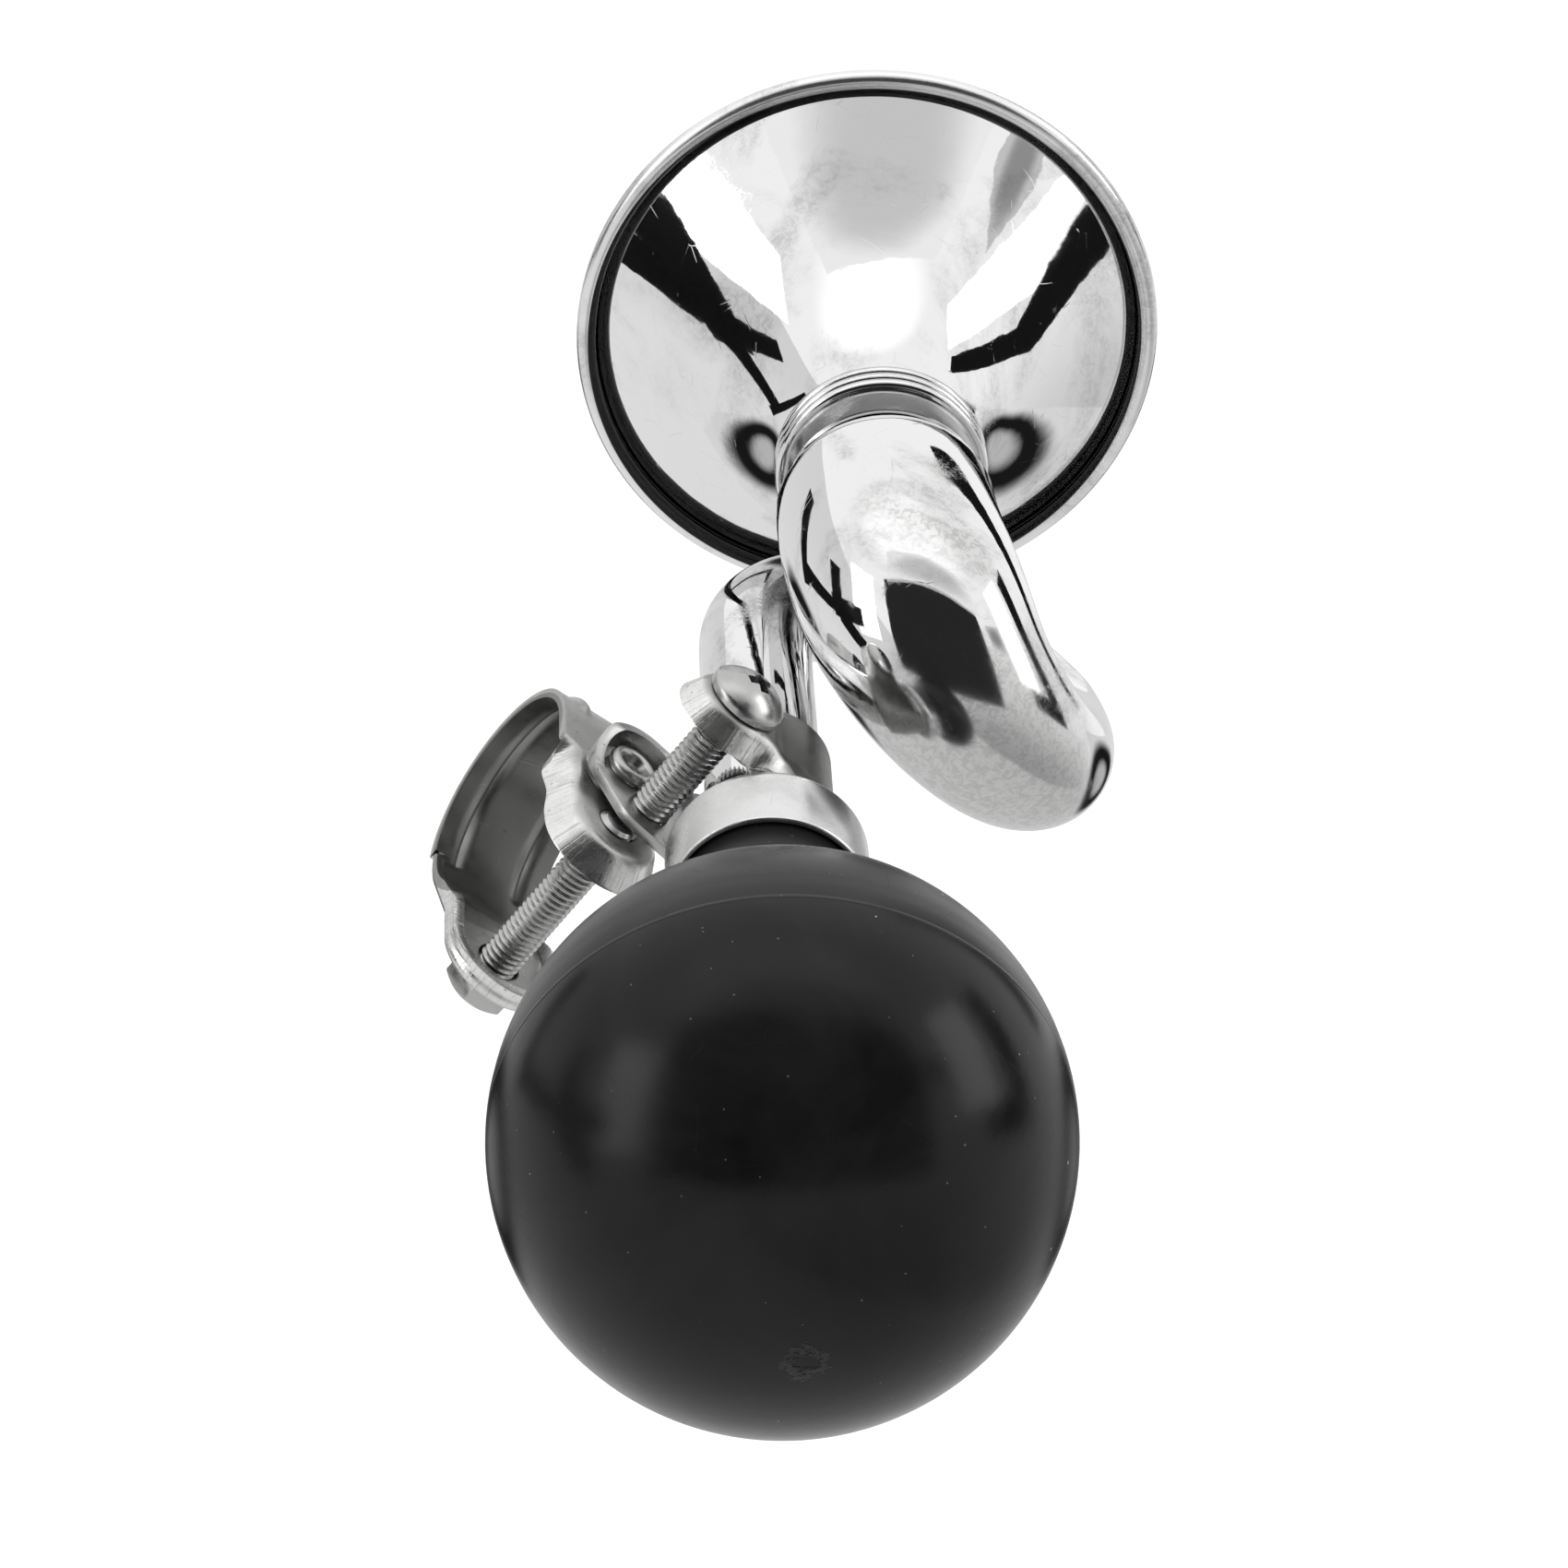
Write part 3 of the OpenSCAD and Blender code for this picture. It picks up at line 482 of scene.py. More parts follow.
BRIGHT = plated("bright_plating", 0.86, 0.035, 0.12, 0.42, dull_spot=(34, -9, 34))
BELL_FINISH = plated("bell_plating", 0.86, 0.03, 0.03, 0.40, 30.0, 0.00006, groove=True, cloudy=0.8)
SATIN = plated("satin_plating", 0.80, 0.22, 0.10, 0.5, cloudy=0.2)
COLLAR_FINISH = plated("collar_plating", 0.8, 0.035, 0.06, 0.5, 120.0, 0.00004, cloudy=0.4)
SLEEVE_FINISH = plated("sleeve_plating", 0.55, 0.16, 0.10, 0.5)
ZINC = zinc("zinc_plate")
SHEET_ZINC = zinc("zinc_sheet", sheet=True)
THREAD = zinc("zinc_thread", 0.5, 0.27, worn=0.4)
# Near-black steel, used only on the swivel washer: painted shade for the gap between the band and the arm
WASHER_SHADE = zinc("washer_shade", 0.14, 0.35)
RUBBER = rubber("black_rubber")
BRASS = brass("reed_brass")


# Horn

def dress(obj, body, node, finish):
    """Puts a finished piece in the place of its CAD node."""
    obj.data.materials.append(finish)
    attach(obj, body)
    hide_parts(node)


def make_bell():
    """Spun flare whose edge rolls back round a wire."""
    bead_r, bead_d = BELL_R - BEAD_R, BELL_L + ROLL_R - BEAD_R

    def clear(point, gap):
        return math.hypot(point[0] - bead_r, point[1] - bead_d) > BEAD_R + gap

    lip = (BELL_R - ROLL_R * 1.2, BELL_L + ROLL_R * 0.9)
    fine = 4
    outer = bezier((THROAT_R + 0.1, 0), (THROAT_R + 0.9, 0.37 * BELL_L), lip, 60 * fine)
    inner = []
    for i, (r, d) in enumerate(outer):
        a, b = outer[max(i - 1, 0)], outer[min(i + 1, 60 * fine)]
        length = math.hypot(b[0] - a[0], b[1] - a[1])
        inner.append((r + BELL_T * (a[1] - b[1]) / length, d + BELL_T * (b[0] - a[0]) / length))
    back = [p for p in outer if clear(p, 0.05)]
    front = [p for p in inner[::fine] if clear(p, 0.02)]
    # The bead starts where the flare's back ends, with a groove between them that bell_rim paints near
    # black as painted shade
    meet = math.degrees(math.atan2(back[-1][1] - bead_d, back[-1][0] - bead_r))
    bead = arc(bead_r, bead_d, BEAD_R, 98, meet - 360, 48)
    near = -1 - 2 * fine
    back = back[:near:fine] + back[near:-1:fine] + back[-1:]
    profile = ([(THROAT_R - BELL_T, -COLLAR_L), (THROAT_R, -COLLAR_L), (THROAT_R, 0)]
               + back + bead[::-1] + front[::-1] + [(THROAT_R - BELL_T, 0)])
    return turned("bell_flare", profile, (BELL_X, NECK_Y, BELL_Z), steps=192, angle=50)


def make_wire():
    """Wire inside the rolled rim."""
    points = arc(0, 0, BEAD_R - 0.35, 0, 330, 11)
    return turned("edge_wire", [(BELL_R - BEAD_R + r, d) for r, d in points],
                  (BELL_X, NECK_Y + BELL_L + ROLL_R - BEAD_R, BELL_Z), steps=96, angle=60)


def make_collar():
    """Three fine beads round the sleeve's front end."""
    pitch = COLLAR_L / 3
    profile = [(SLEEVE_R + 0.02, 0)]
    for i in range(3):
        profile += arc(SLEEVE_R + 0.1, pitch * (i + 0.5), pitch / 2 - 0.02, -88, 88, 14)
    profile.append((SLEEVE_R + 0.02, COLLAR_L))
    return turned("collar_beads", profile, (BELL_X, NECK_Y - COLLAR_L, BELL_Z), steps=160, angle=60)


def make_sleeve():
    """Plain band with eased ends over the joint of tube and bell."""
    inner, ease_by = THROAT_R + 0.02, 0.15
    profile = [(inner, 0.1), (inner + 0.1, 0), (SLEEVE_R - ease_by, 0), (SLEEVE_R, ease_by),
               (SLEEVE_R, SLEEVE_L - ease_by), (SLEEVE_R - ease_by, SLEEVE_L), (inner, SLEEVE_L)]
    return turned("sleeve_band", profile, (BELL_X, SLEEVE_Y, BELL_Z), steps=160)


def rise(s, blend=0.17):
    """Share of the climb done at share s of the turn, level at both ends."""
    if s < blend:
        return s * s / (2 * blend * (1 - blend))
    if s > 1 - blend:
        return 1 - (1 - s) ** 2 / (2 * blend * (1 - blend))
    return (s - blend / 2) / (1 - blend)


FRONT_R, REAR_R, FRONT_REACH, REAR_REACH, ADVANCE, RISE = 17.7, 16.1, 18.0, 23.6, 6.2, 22.0
LOOP_RADII = [(0, 6.8), (90, 6.9), (180, 7.8), (225, 8.888), (270, 11.0), (315, 13.5),
              (340, 13.45), (360, 13.1)]


def loop_point(t):
    """The loop's centre line at t degrees round it."""
    c, s = math.cos(math.radians(t)), math.sin(math.radians(t))
    x = TUBE_X + (FRONT_R * (1 - c) if t <= 180 else 2 * FRONT_R - REAR_R * (1 + c))
    y = LOOP_START + (FRONT_REACH if t <= 180 else REAR_REACH) * s + ADVANCE * t / 360
    return Vector((x, y, TUBE_Z + RISE * rise(t / 360)))


def smooth_radius(t):
    """The tube's radius at t degrees, eased between its known values."""
    total = weight = 0.0
    for k in range(-4, 5):
        at = min(max(t + 5 * k, 0), 360)
        w = 1.0 - abs(k) / 5
        for (a, ra), (b, rb) in zip(LOOP_RADII, LOOP_RADII[1:]):
            if a <= at <= b:
                total += w * (ra + (rb - ra) * (at - a) / (b - a))
                weight += w
                break
    return total / weight


def make_tube():
    """The whole tube: a ring of points carried along the centre line and swelled."""
    # A straight inlet, the loop, and an end that narrows into the bell's throat, both ends closed
    stations = [(Vector((TUBE_X, y, TUBE_Z)), Vector((0, 1, 0)), r) for y, r in
                [(-33.4, 6.1), (-33.4, 6.7), (-33.3, 6.8), (-24.0, 6.8), (-10, 6.8), (5, 6.8),
                 (14, 6.8)]]
    for i in range(241):
        t = 360 * i / 240
        if 0 < t < 360:
            ahead = (loop_point(t + 0.4) - loop_point(t - 0.4)).normalized()
        else:
            ahead = Vector((0, 1, 0))
        stations.append((loop_point(t), ahead, smooth_radius(t)))
    for y, r in [(25.6, 12.85), (26.2, 12.55), (27, 12.16), (27.7, 11.85), (28.1, 11.68),
                 (28.3, 11.55), (33.1, 11.55), (33.2, 11.4), (33.2, 10.85), (29, 10.85)]:
        stations.append((Vector((BELL_X, y, BELL_Z)), Vector((0, 1, 0)), r))
    bm = bmesh.new()
    ring = bmesh.ops.create_circle(bm, segments=72, radius=1.0)["verts"]
    first = list({e for v in ring for e in v.link_edges})
    edges, before = first, None
    for centre, ahead, r in stations:
        across = Vector((0, 0, 1)).cross(ahead).normalized()
        up = ahead.cross(across)
        turn = Matrix((across * r, up * r, ahead * r)).transposed().to_4x4()
        place = Matrix.Translation(centre) @ turn
        move = place
        if before is not None:
            made = bmesh.ops.extrude_edge_only(bm, edges=edges)["geom"]
            ring = [g for g in made if isinstance(g, bmesh.types.BMVert)]
            edges = [g for g in made if isinstance(g, bmesh.types.BMEdge)
                     and all(v in ring for v in g.verts)]
            move = place @ before.inverted()
        bmesh.ops.transform(bm, matrix=move, verts=ring)
        before = place
    bmesh.ops.contextual_create(bm, geom=first)
    bmesh.ops.contextual_create(bm, geom=edges)
    return to_object(bm, "horn_tube", 40)


def make_ferrule():
    """Cup with a rolled rear edge; the bulb's neck goes into it."""
    r, l, t = FERRULE_R, FERRULE_L, FERRULE_T
    outer = [(r - 0.25, 0.0), (r - 0.05, 0.12), (r, 0.35)] + arc(r - 2, l - 2, 2, 0, 90, 14)
    inner = arc(r - 2, l - 2, 2 - t, 90, 0, 10) + [(r - t, 0.4), (r - t + 0.1, 0.1)]
    profile = outer + [(TUBE_R + 0.35, l), (TUBE_R + 0.05, l - 0.2), (TUBE_R + 0.05, l - t)] + inner
    return turned("ferrule_cup", profile, (TUBE_X, FERRULE_BACK, TUBE_Z), steps=144, angle=50)


def make_bulb():
    """Hollow rubber ball with a neck and a faint moulded ring."""
    fillet = 7.0
    web_r = NECK_R + fillet
    web_y = math.sqrt((BULB_R + fillet) ** 2 - web_r ** 2)
    touch = math.degrees(math.atan2(web_y, web_r))
    ring_at, ring_w, ring_depth = 4.0, 0.28, 0.09
    outer = [(r - ring_depth * math.exp(-((d - ring_at) / ring_w) ** 2), d)
             for r, d in arc(0, 0, BULB_R, -90, touch, 110)]
    outer[0] = (0.001, outer[0][1])
    web = arc(web_r, web_y, fillet, 180 + touch, 180, 16)
    end, cavity_r = NECK_END - BULB_Y, BULB_R - RUBBER_T
    neck = [(NECK_R, end - 0.6), (NECK_R - 0.5, end), (NECK_BORE, end)]
    cavity = arc(0, 0, cavity_r, math.degrees(math.acos(NECK_BORE / cavity_r)), -90, 60)
    cavity[-1] = (0.001, cavity[-1][1])
    return turned("rubber_bulb", outer + web + neck + cavity, (TUBE_X, BULB_Y, TUBE_Z),
                  steps=160, closed=False, angle=60)


dress(make_bell(), "horn", "bell", BELL_FINISH)
dress(make_wire(), "horn", "rim_wire", ZINC)
dress(make_collar(), "horn", "throat_collar", COLLAR_FINISH)
dress(make_sleeve(), "horn", "throat_sleeve", SLEEVE_FINISH)
dress(make_tube(), "horn", "coiled_tube", BRIGHT)
dress(make_ferrule(), "horn", "ferrule", SATIN)
bulb = make_bulb()
bulb.data.materials.append(RUBBER)
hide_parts("bulb")
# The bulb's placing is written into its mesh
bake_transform(bulb)


# Screws and pin

def add_thread(bm, centre, low, high):
    """A helical V thread with rounded crests between two heights."""
    r, pitch, depth, per_turn = SCREW_R, 0.8, 0.42, 36
    turns = int((high - low) / pitch)
    half = pitch / 2
    kept = set(bm.verts)
    crest = [(r - depth, 0), (r - depth * 0.35, half * 0.55), (r, half * 0.88), (r, half * 1.12),
             (r - depth * 0.35, half * 1.45), (r - depth, pitch)]
    made = [bm.verts.new((x, 0, low + z)) for x, z in crest]
    edges = [bm.edges.new(pair) for pair in zip(made, made[1:])]
    bmesh.ops.spin(bm, geom=made + edges, cent=(0, 0, 0), axis=(0, 0, 1),
                   angle=2 * math.pi * turns, steps=per_turn * turns,
                   dvec=(0, 0, pitch / per_turn), use_merge=False)
    fresh = [v for v in bm.verts if v not in kept]
    bmesh.ops.translate(bm, vec=centre, verts=fresh)
    bmesh.ops.remove_doubles(bm, verts=fresh, dist=0.002)


def make_bar_screw():
    """Hexagon-head screw with a chamfered head and a rolled thread."""
    centre = Vector((0, BAR_SCREW_Y, 0))
    low = LOW_EAR_Z - HEX_L
    bm = bmesh.new()
    turn = Matrix.Rotation(math.radians(37), 4, "Z")
    bmesh.ops.create_cone(bm, cap_ends=True, segments=6, radius1=HEX_CORNER, radius2=HEX_CORNER,
                          depth=HEX_L, matrix=Matrix.Translation((0, BAR_SCREW_Y, low + HEX_L / 2)) @ turn)
    head = to_object(bm, "hex_head_work", 30)
    bm = bmesh.new()
    spun(bm, [(0.001, low), (3.7, low), (4.7, low + 0.75), (4.7, low + 3.6), (0.001, low + 3.6)],
         centre, "Z", 72, closed=False)
    cut_away(head, to_object(bm, "hex_turned", 30), "INTERSECT")
    ease_edges(head, 0.12, 2, 25)
    bm = taken_apart(head)
    core = [(0.001, LOW_EAR_Z), (2.1, LOW_EAR_Z), (2.1, 14.1), (1.8, 14.4), (0.001, 14.4)]
    spun(bm, core, centre, "Z", 40, closed=False)
    add_thread(bm, centre, LOW_EAR_Z - 0.2, 14.0)
    return to_object(bm, "hex_screw", 30)


def make_tube_screw():
    """Pan-head screw with a cross recess and a rolled thread."""
    centre = Vector((TUBE_SCREW_X, TUBE_SCREW_Y, 0))
    bm = bmesh.new()
    top = TOP_EAR_Z + 3.4
    dome_r, edge = 6.1, TOP_EAR_Z + 1.2
    dome_z = top - dome_r
    rim_angle = math.degrees(math.asin((edge - dome_z) / dome_r))
    profile = [(0.001, TOP_EAR_Z), (4.45, TOP_EAR_Z), (4.66, TOP_EAR_Z + 0.2),
               (4.7, TOP_EAR_Z + 0.8)]
    profile += [p for p in arc(0, dome_z, dome_r, rim_angle - 2, 90, 20) if p[0] < 4.68]
    profile[-1] = (0.001, top)
    spun(bm, profile, centre, "Z", 72, closed=False)
    head = to_object(bm, "pan_head_work", 40)
    cross = bmesh.new()
    for turn in (20, 110):
        spin = (Matrix.Translation(centre + Vector((0, 0, top)))
                @ Matrix.Rotation(math.radians(turn), 4, "Z"))
        slot = bmesh.ops.create_cube(cross, size=1.0)["verts"]
        bmesh.ops.scale(cross, vec=(5.4, 1.5, 3.4), verts=slot)
        bmesh.ops.scale(cross, vec=(0.35, 0.7, 1), verts=[v for v in slot if v.co.z < 0])
        bmesh.ops.transform(cross, matrix=spin, verts=slot)
    cut_away(head, to_object(cross, "pan_cutter", 40))
    bm = taken_apart(head)
    core = [(0.001, ARM_Z + 0.2), (1.8, ARM_Z + 0.2), (2.1, ARM_Z + 0.5), (2.1, TOP_EAR_Z + 0.1),
            (0.001, TOP_EAR_Z + 0.1)]
    spun(bm, core, centre, "Z", 40, closed=False)
    add_thread(bm, centre, ARM_Z + 0.4, TOP_EAR_Z + 0.1)
    return to_object(bm, "pan_screw", 40)


def make_pin():
    """Swivel pin with a bored end rolled over the arm."""
    top = ARM_Z + SHEET + 0.05
    profile = [(0.001, 11.6), (2.9, 11.6), (3.1, 11.8), (3.1, 12.5), (2.95, 12.68), (2.0, 12.7),
               (2.0, top), (2.9, top)]
    profile += arc(2.35, top + 0.72, 0.75, -50, 170, 16)
    profile += [(1.25, top + 0.4), (1.2, top + 0.05), (0.001, top)]
    return turned("swivel_rivet", profile, (0, SWIVEL_Y, 0), "Z", 64, closed=False)


dress(make_bar_screw(), "bar_clamp_screw", "bar_clamp_screw", THREAD)
dress(make_tube_screw(), "tube_clamp_screw", "tube_clamp_screw", THREAD)
dress(make_pin(), "bar_clamp", "swivel_pin", ZINC)


# Pressed bracket

# The lower ear is flat to just past the screw's head, and a straight slope joins it to the ring
SLOPE_BEND_Y = BAR_SCREW_Y + HEX_CORNER + 0.15
SLOPE = math.atan2(-SLOPE_BEND_Y, -LOW_EAR_Z) - math.acos(BAND_R / math.hypot(SLOPE_BEND_Y, LOW_EAR_Z))
FOOT = math.pi + SLOPE
SLOPE_L = math.hypot(SLOPE_BEND_Y - BAND_R * math.sin(FOOT), LOW_EAR_Z - BAND_R * math.cos(FOOT))
BAND_LENGTH = -BAR_SCREW_Y + BAND_R * FOOT + SLOPE_L + SLOPE_BEND_Y - BAR_SCREW_Y
EAR_HOLE_R = 2.8


def ease(value, low, high):
    """Smooth step from 0 at low to 1 at high."""
    t = min(max((value - low) / (high - low), 0.0), 1.0)
    return t * t * (3 - 2 * t)


def mapped_grid(bm, rows, columns, place):
    """A grid bent by place(u, v), which gives a point, a length along and the strength of a painted sheen.
    """
    along = bm.verts.layers.float.get("along") or bm.verts.layers.float.new("along")
    painted_sheen = bm.verts.layers.float.get("painted_sheen") or bm.verts.layers.float.new("painted_sheen")
    made = bmesh.ops.create_grid(bm, x_segments=rows, y_segments=columns, size=0.5)["verts"]
    for vert in made:
        point, length, amount = place(vert.co.x + 0.5, vert.co.y + 0.5)
        vert.co = point
        vert[along] = length
        vert[painted_sheen] = amount


def flange(v, half, bend_r, angle, leg):
    """Section of a sheet whose edges bend away: distance from the middle, and depth."""
    flat = half - bend_r * math.sin(min(angle, math.pi / 2)) - leg * max(math.cos(angle), 0.0)
    reach = abs(v) * (flat + bend_r * angle + leg)
    turn = min(max((reach - flat) / bend_r, 0.0), angle)
    rest = max(reach - flat - bend_r * angle, 0.0)
    out = min(reach, flat) + bend_r * math.sin(turn) + rest * math.cos(angle)
    depth = bend_r * (1 - math.cos(turn)) + rest * math.sin(angle)
    return math.copysign(out, v), depth


def finish_sheet(bm, name, axis, holes):
    """Joins a sheet's parts, thickens it inwards, drills it and eases its edges."""
    bmesh.ops.remove_doubles(bm, verts=bm.verts, dist=0.02)
    bmesh.ops.recalc_face_normals(bm, faces=bm.faces)
    far = max(bm.faces, key=lambda f: f.calc_center_median()[axis])
    if far.normal[axis] < 0:
        bmesh.ops.reverse_faces(bm, faces=bm.faces)
    obj = to_object(bm, name, 40, outward=False)
    solid = obj.modifiers.new("thickness", "SOLIDIFY")
    solid.thickness = SHEET * MM
    solid.offset = -1
    bake(obj)
    cut_away(obj, rod_cutter(name + "_holes", holes))
    ease_edges(obj, 0.14, 2, 42)
    return obj


def rod_cutter(name, rods):
    """One cutting shape made of upright rods, each given by its centre and radius."""
    bm = bmesh.new()
    for centre, r in rods:
        bmesh.ops.create_cone(bm, cap_ends=True, segments=48, radius1=r, radius2=r, depth=4.0,
                              matrix=Matrix.Translation(centre))
    return to_object(bm, name, 40)


def band_path(s):
    """The band's outer face in side view: y, z and its outward direction."""
    arc_l = BAND_R * FOOT
    if s < -BAR_SCREW_Y:
        return BAR_SCREW_Y + s, BAND_R, 0.0, 1.0
    s += BAR_SCREW_Y
    turn = min(s / BAND_R, FOOT)
    y, z = BAND_R * math.sin(turn), BAND_R * math.cos(turn)
    ny, nz = math.sin(turn), math.cos(turn)
    if s < arc_l:
        return y, z, ny, nz
    if s < arc_l + SLOPE_L:
        return y + (s - arc_l) * nz, z - (s - arc_l) * ny, ny, nz
    return SLOPE_BEND_Y - (s - arc_l - SLOPE_L), LOW_EAR_Z, 0.0, -1.0


def upper_flange(v, y):
    """Section of the upper ear, with its wavy shoulders just behind the band."""
    full = ease(y, -4.6, -7.4)
    long = ease(y, -4.9, -7.8)
    wave = 0.12 * math.sin(0.95 * (y + 5.0))
    shoulder = 0.5 * math.exp(-((y + 8.6) / 1.5) ** 2)
    out, depth = flange(v, BAND_W / 2 + shoulder * full, 2.0, 1.08 * full, (3.1 + 2 * wave) * long)
    fold = 0.35 * full * math.exp(-((y + 13.5) / 2.2) ** 2) * math.exp(-((abs(out) - 4.6) / 1.1) ** 2)
    return out, depth + fold


def low_flange(v, y, room=9.0):
    """Section of the lower ear, whose rim starts with a square end and clears the handlebar."""
    start = ease(y, 2.1, 1.7)
    bend = (1.7 - 0.2 * ease(y, -7.0, -20.0)) * start
    rise = 1.8 + 0.25 * ease(y, 0.0, -7.0) + 0.85 * ease(y, -7.0, -15.0) + 0.5 * ease(y, -15.0, -24.0)
    leg = max((min(room, rise) - 1.2 * (1 - math.cos(bend))) / math.sin(bend + 0.001), 0.0)
    out, depth = flange(v, BAND_W / 2, 1.2, bend, min(leg, 4.0) * start)
    groove = 0.28 * ease(y, -5.0, -8.0) * math.exp(-((abs(depth) - 2.0) / 0.55) ** 2)
    return out - math.copysign(groove, out), depth


def band_point(u, v):
    """Placing of the band: its path, its bent edges and the two beads pressed inwards."""
    s = BAND_LENGTH * u
    w = 2 * v - 1
    y, z, ny, nz = band_path(s)
    turn = math.degrees((s + BAR_SCREW_Y) / BAND_R)
    # Painted sheen: mid-tone on the flat band, painted lighter where the edges bend away
    painted_sheen = 0.5
    if turn < 0:
        x, depth = upper_flange(w, y)
        painted_sheen = 0.5 + 0.5 * ease(depth, 0.2, 1.0)
    elif y < 2.2 and z < 0:
        across = abs(y * nz - z * ny)
        bar = BAR_R - 0.5
        room = y * ny + z * nz - math.sqrt(bar * bar - across * across) if across < bar else 9.0
        x, depth = low_flange(w, y, room)
        painted_sheen = 0.5 + 0.5 * ease(depth, 0.2, 0.8)
    else:
        x, depth = w * BAND_W / 2, 0.0
    t = (abs(x) - 4.3) / 1.3
    if 0 < turn < 200 and abs(t) < 1:
        depth -= 0.6 * (0.5 + 0.5 * math.cos(math.pi * t)) * ease(turn, 6, 16) * ease(turn, 176, 170)
    return Vector((x, y - depth * ny, z - depth * nz)), s, painted_sheen


def ear_end(z, sign, section, y):
    """Placing of a round ear end about the screw: its section turned through half a circle."""

    def place(u, v):
        turn = math.pi * (u - 0.5)
        out, depth = section(v, y)
        x, back = out * math.sin(turn), out * math.cos(turn)
        # Painted sheen, painted lighter where the ear's edge bends away
        painted_sheen = 0.5 + 0.5 * ease(depth, 0.2, 1.0)
        return Vector((x, y - back, z - sign * depth)), 7.0 * turn, painted_sheen
    return place


def make_band():
    """One strip of sheet: upper ear, ring with two pressed beads, and lower ear."""
    bm = bmesh.new()
    mapped_grid(bm, 170, 72, band_point)
    mapped_grid(bm, 48, 36, ear_end(BAND_R, 1, upper_flange, BAR_SCREW_Y))
    mapped_grid(bm, 48, 36, ear_end(LOW_EAR_Z, -1, low_flange, BAR_SCREW_Y))
    return finish_sheet(bm, "band_sheet", 1, [((0, BAR_SCREW_Y, BAND_R), 2.5),
                                              ((0, BAR_SCREW_Y, LOW_EAR_Z), EAR_HOLE_R),
                                              ((0, SWIVEL_Y, BAND_R), 2.02)])


# Strap: outer face in front view, from the arm round the tube to the upper ear
STRAP_W, STRAP_R = 14.0, 8.05
BEND_OUT_X, BEND_IN_X = 7.8, 9.6


def strap_path():
    """Points of the strap's outer face as x, z."""
    low, high = TUBE_Z - STRAP_R, TUBE_Z + STRAP_R
    points = [(BEND_OUT_X - 0.05, ARM_Z), (BEND_OUT_X, ARM_Z)]
    points += bezier((BEND_OUT_X, ARM_Z), (BEND_OUT_X + 0.5, ARM_Z), ((BEND_OUT_X + BEND_IN_X) / 2,
                     (ARM_Z + low) / 2), 5)[1:]
    points += bezier(points[-1], (BEND_IN_X - 0.4, low), (BEND_IN_X + 0.2, low), 5)[1:]
    points += [(x, low) for x in (10.6, 11.4, 12.2)]
    points += arc(TUBE_X, TUBE_Z, STRAP_R, -90, 90, 72)
    middle = ((BEND_OUT_X + BEND_IN_X) / 2, (TOP_EAR_Z + high) / 2)
    points += bezier((TUBE_X, high), (BEND_IN_X + 0.6, high), middle, 12)[1:]
    points += bezier(middle, (BEND_OUT_X - 0.5, TOP_EAR_Z), (5.4, TOP_EAR_Z), 10)[1:]
    points += [(x, TOP_EAR_Z) for x in (4.6, 3.8, TUBE_SCREW_X)]
    return points


def ear_flange(v, x):
    """Section of the strap's upper ear, whose dish runs out along the strap."""
    full = ease(x, 12.6, 6.0)
    half = STRAP_W / 2 - 0.5 * full
    return flange(v, half, 1.8, 1.12 * full, (2.75 + 0.15 * math.sin(1.3 * x)) * full ** 0.5)


def make_strap():
    """The strap with its dished upper ear, joined to the arm cut from the CAD node."""
    path = strap_path()
    lengths = [0.0]
    for (ax, az), (bx, bz) in zip(path, path[1:]):
        lengths.append(lengths[-1] + math.hypot(bx - ax, bz - az))

    def place(u, v):
        s = u * lengths[-1]
        i = max(k for k in range(len(path) - 1) if lengths[k] <= s + 1e-9)
        f = (s - lengths[i]) / (lengths[i + 1] - lengths[i])
        (ax, az), (bx, bz) = path[i], path[i + 1]
        x, z = ax + (bx - ax) * f, az + (bz - az) * f
        a, b = path[max(i - 1, 0)], path[min(i + 2, len(path) - 1)]
        run = math.hypot(b[0] - a[0], b[1] - a[1])
        nx, nz = (b[1] - a[1]) / run, -(b[0] - a[0]) / run
        if z > TUBE_Z:
            out, depth = ear_flange(2 * v - 1, x)
        else:
            out, depth = (2 * v - 1) * STRAP_W / 2, 0.0
        # Painted sheen: dark on the flat strap, painted lighter where the ear's edges bend away
        painted_sheen = ease(depth, 0.1, 0.8) if z > TUBE_Z else 0.0
        return Vector((x - depth * nx, TUBE_SCREW_Y + out, z - depth * nz)), s, 0.15 + 0.85 * painted_sheen

    def end_place(u, v):
        turn = math.pi * (u - 0.5)
        out, depth = ear_flange(v, TUBE_SCREW_X)
        return (Vector((TUBE_SCREW_X - out * math.cos(turn), TUBE_SCREW_Y + out * math.sin(turn),
                        TOP_EAR_Z - depth)), lengths[-1] + 6 * turn, 0.3 + 0.7 * ease(depth, 0.2, 1.0))

    bm = bmesh.new()
    mapped_grid(bm, 130, 60, place)
    mapped_grid(bm, 48, 30, end_place)
    hole = ((TUBE_SCREW_X, TUBE_SCREW_Y, TOP_EAR_Z), EAR_HOLE_R)
    return finish_sheet(bm, "strap_sheet", 0, [hole])


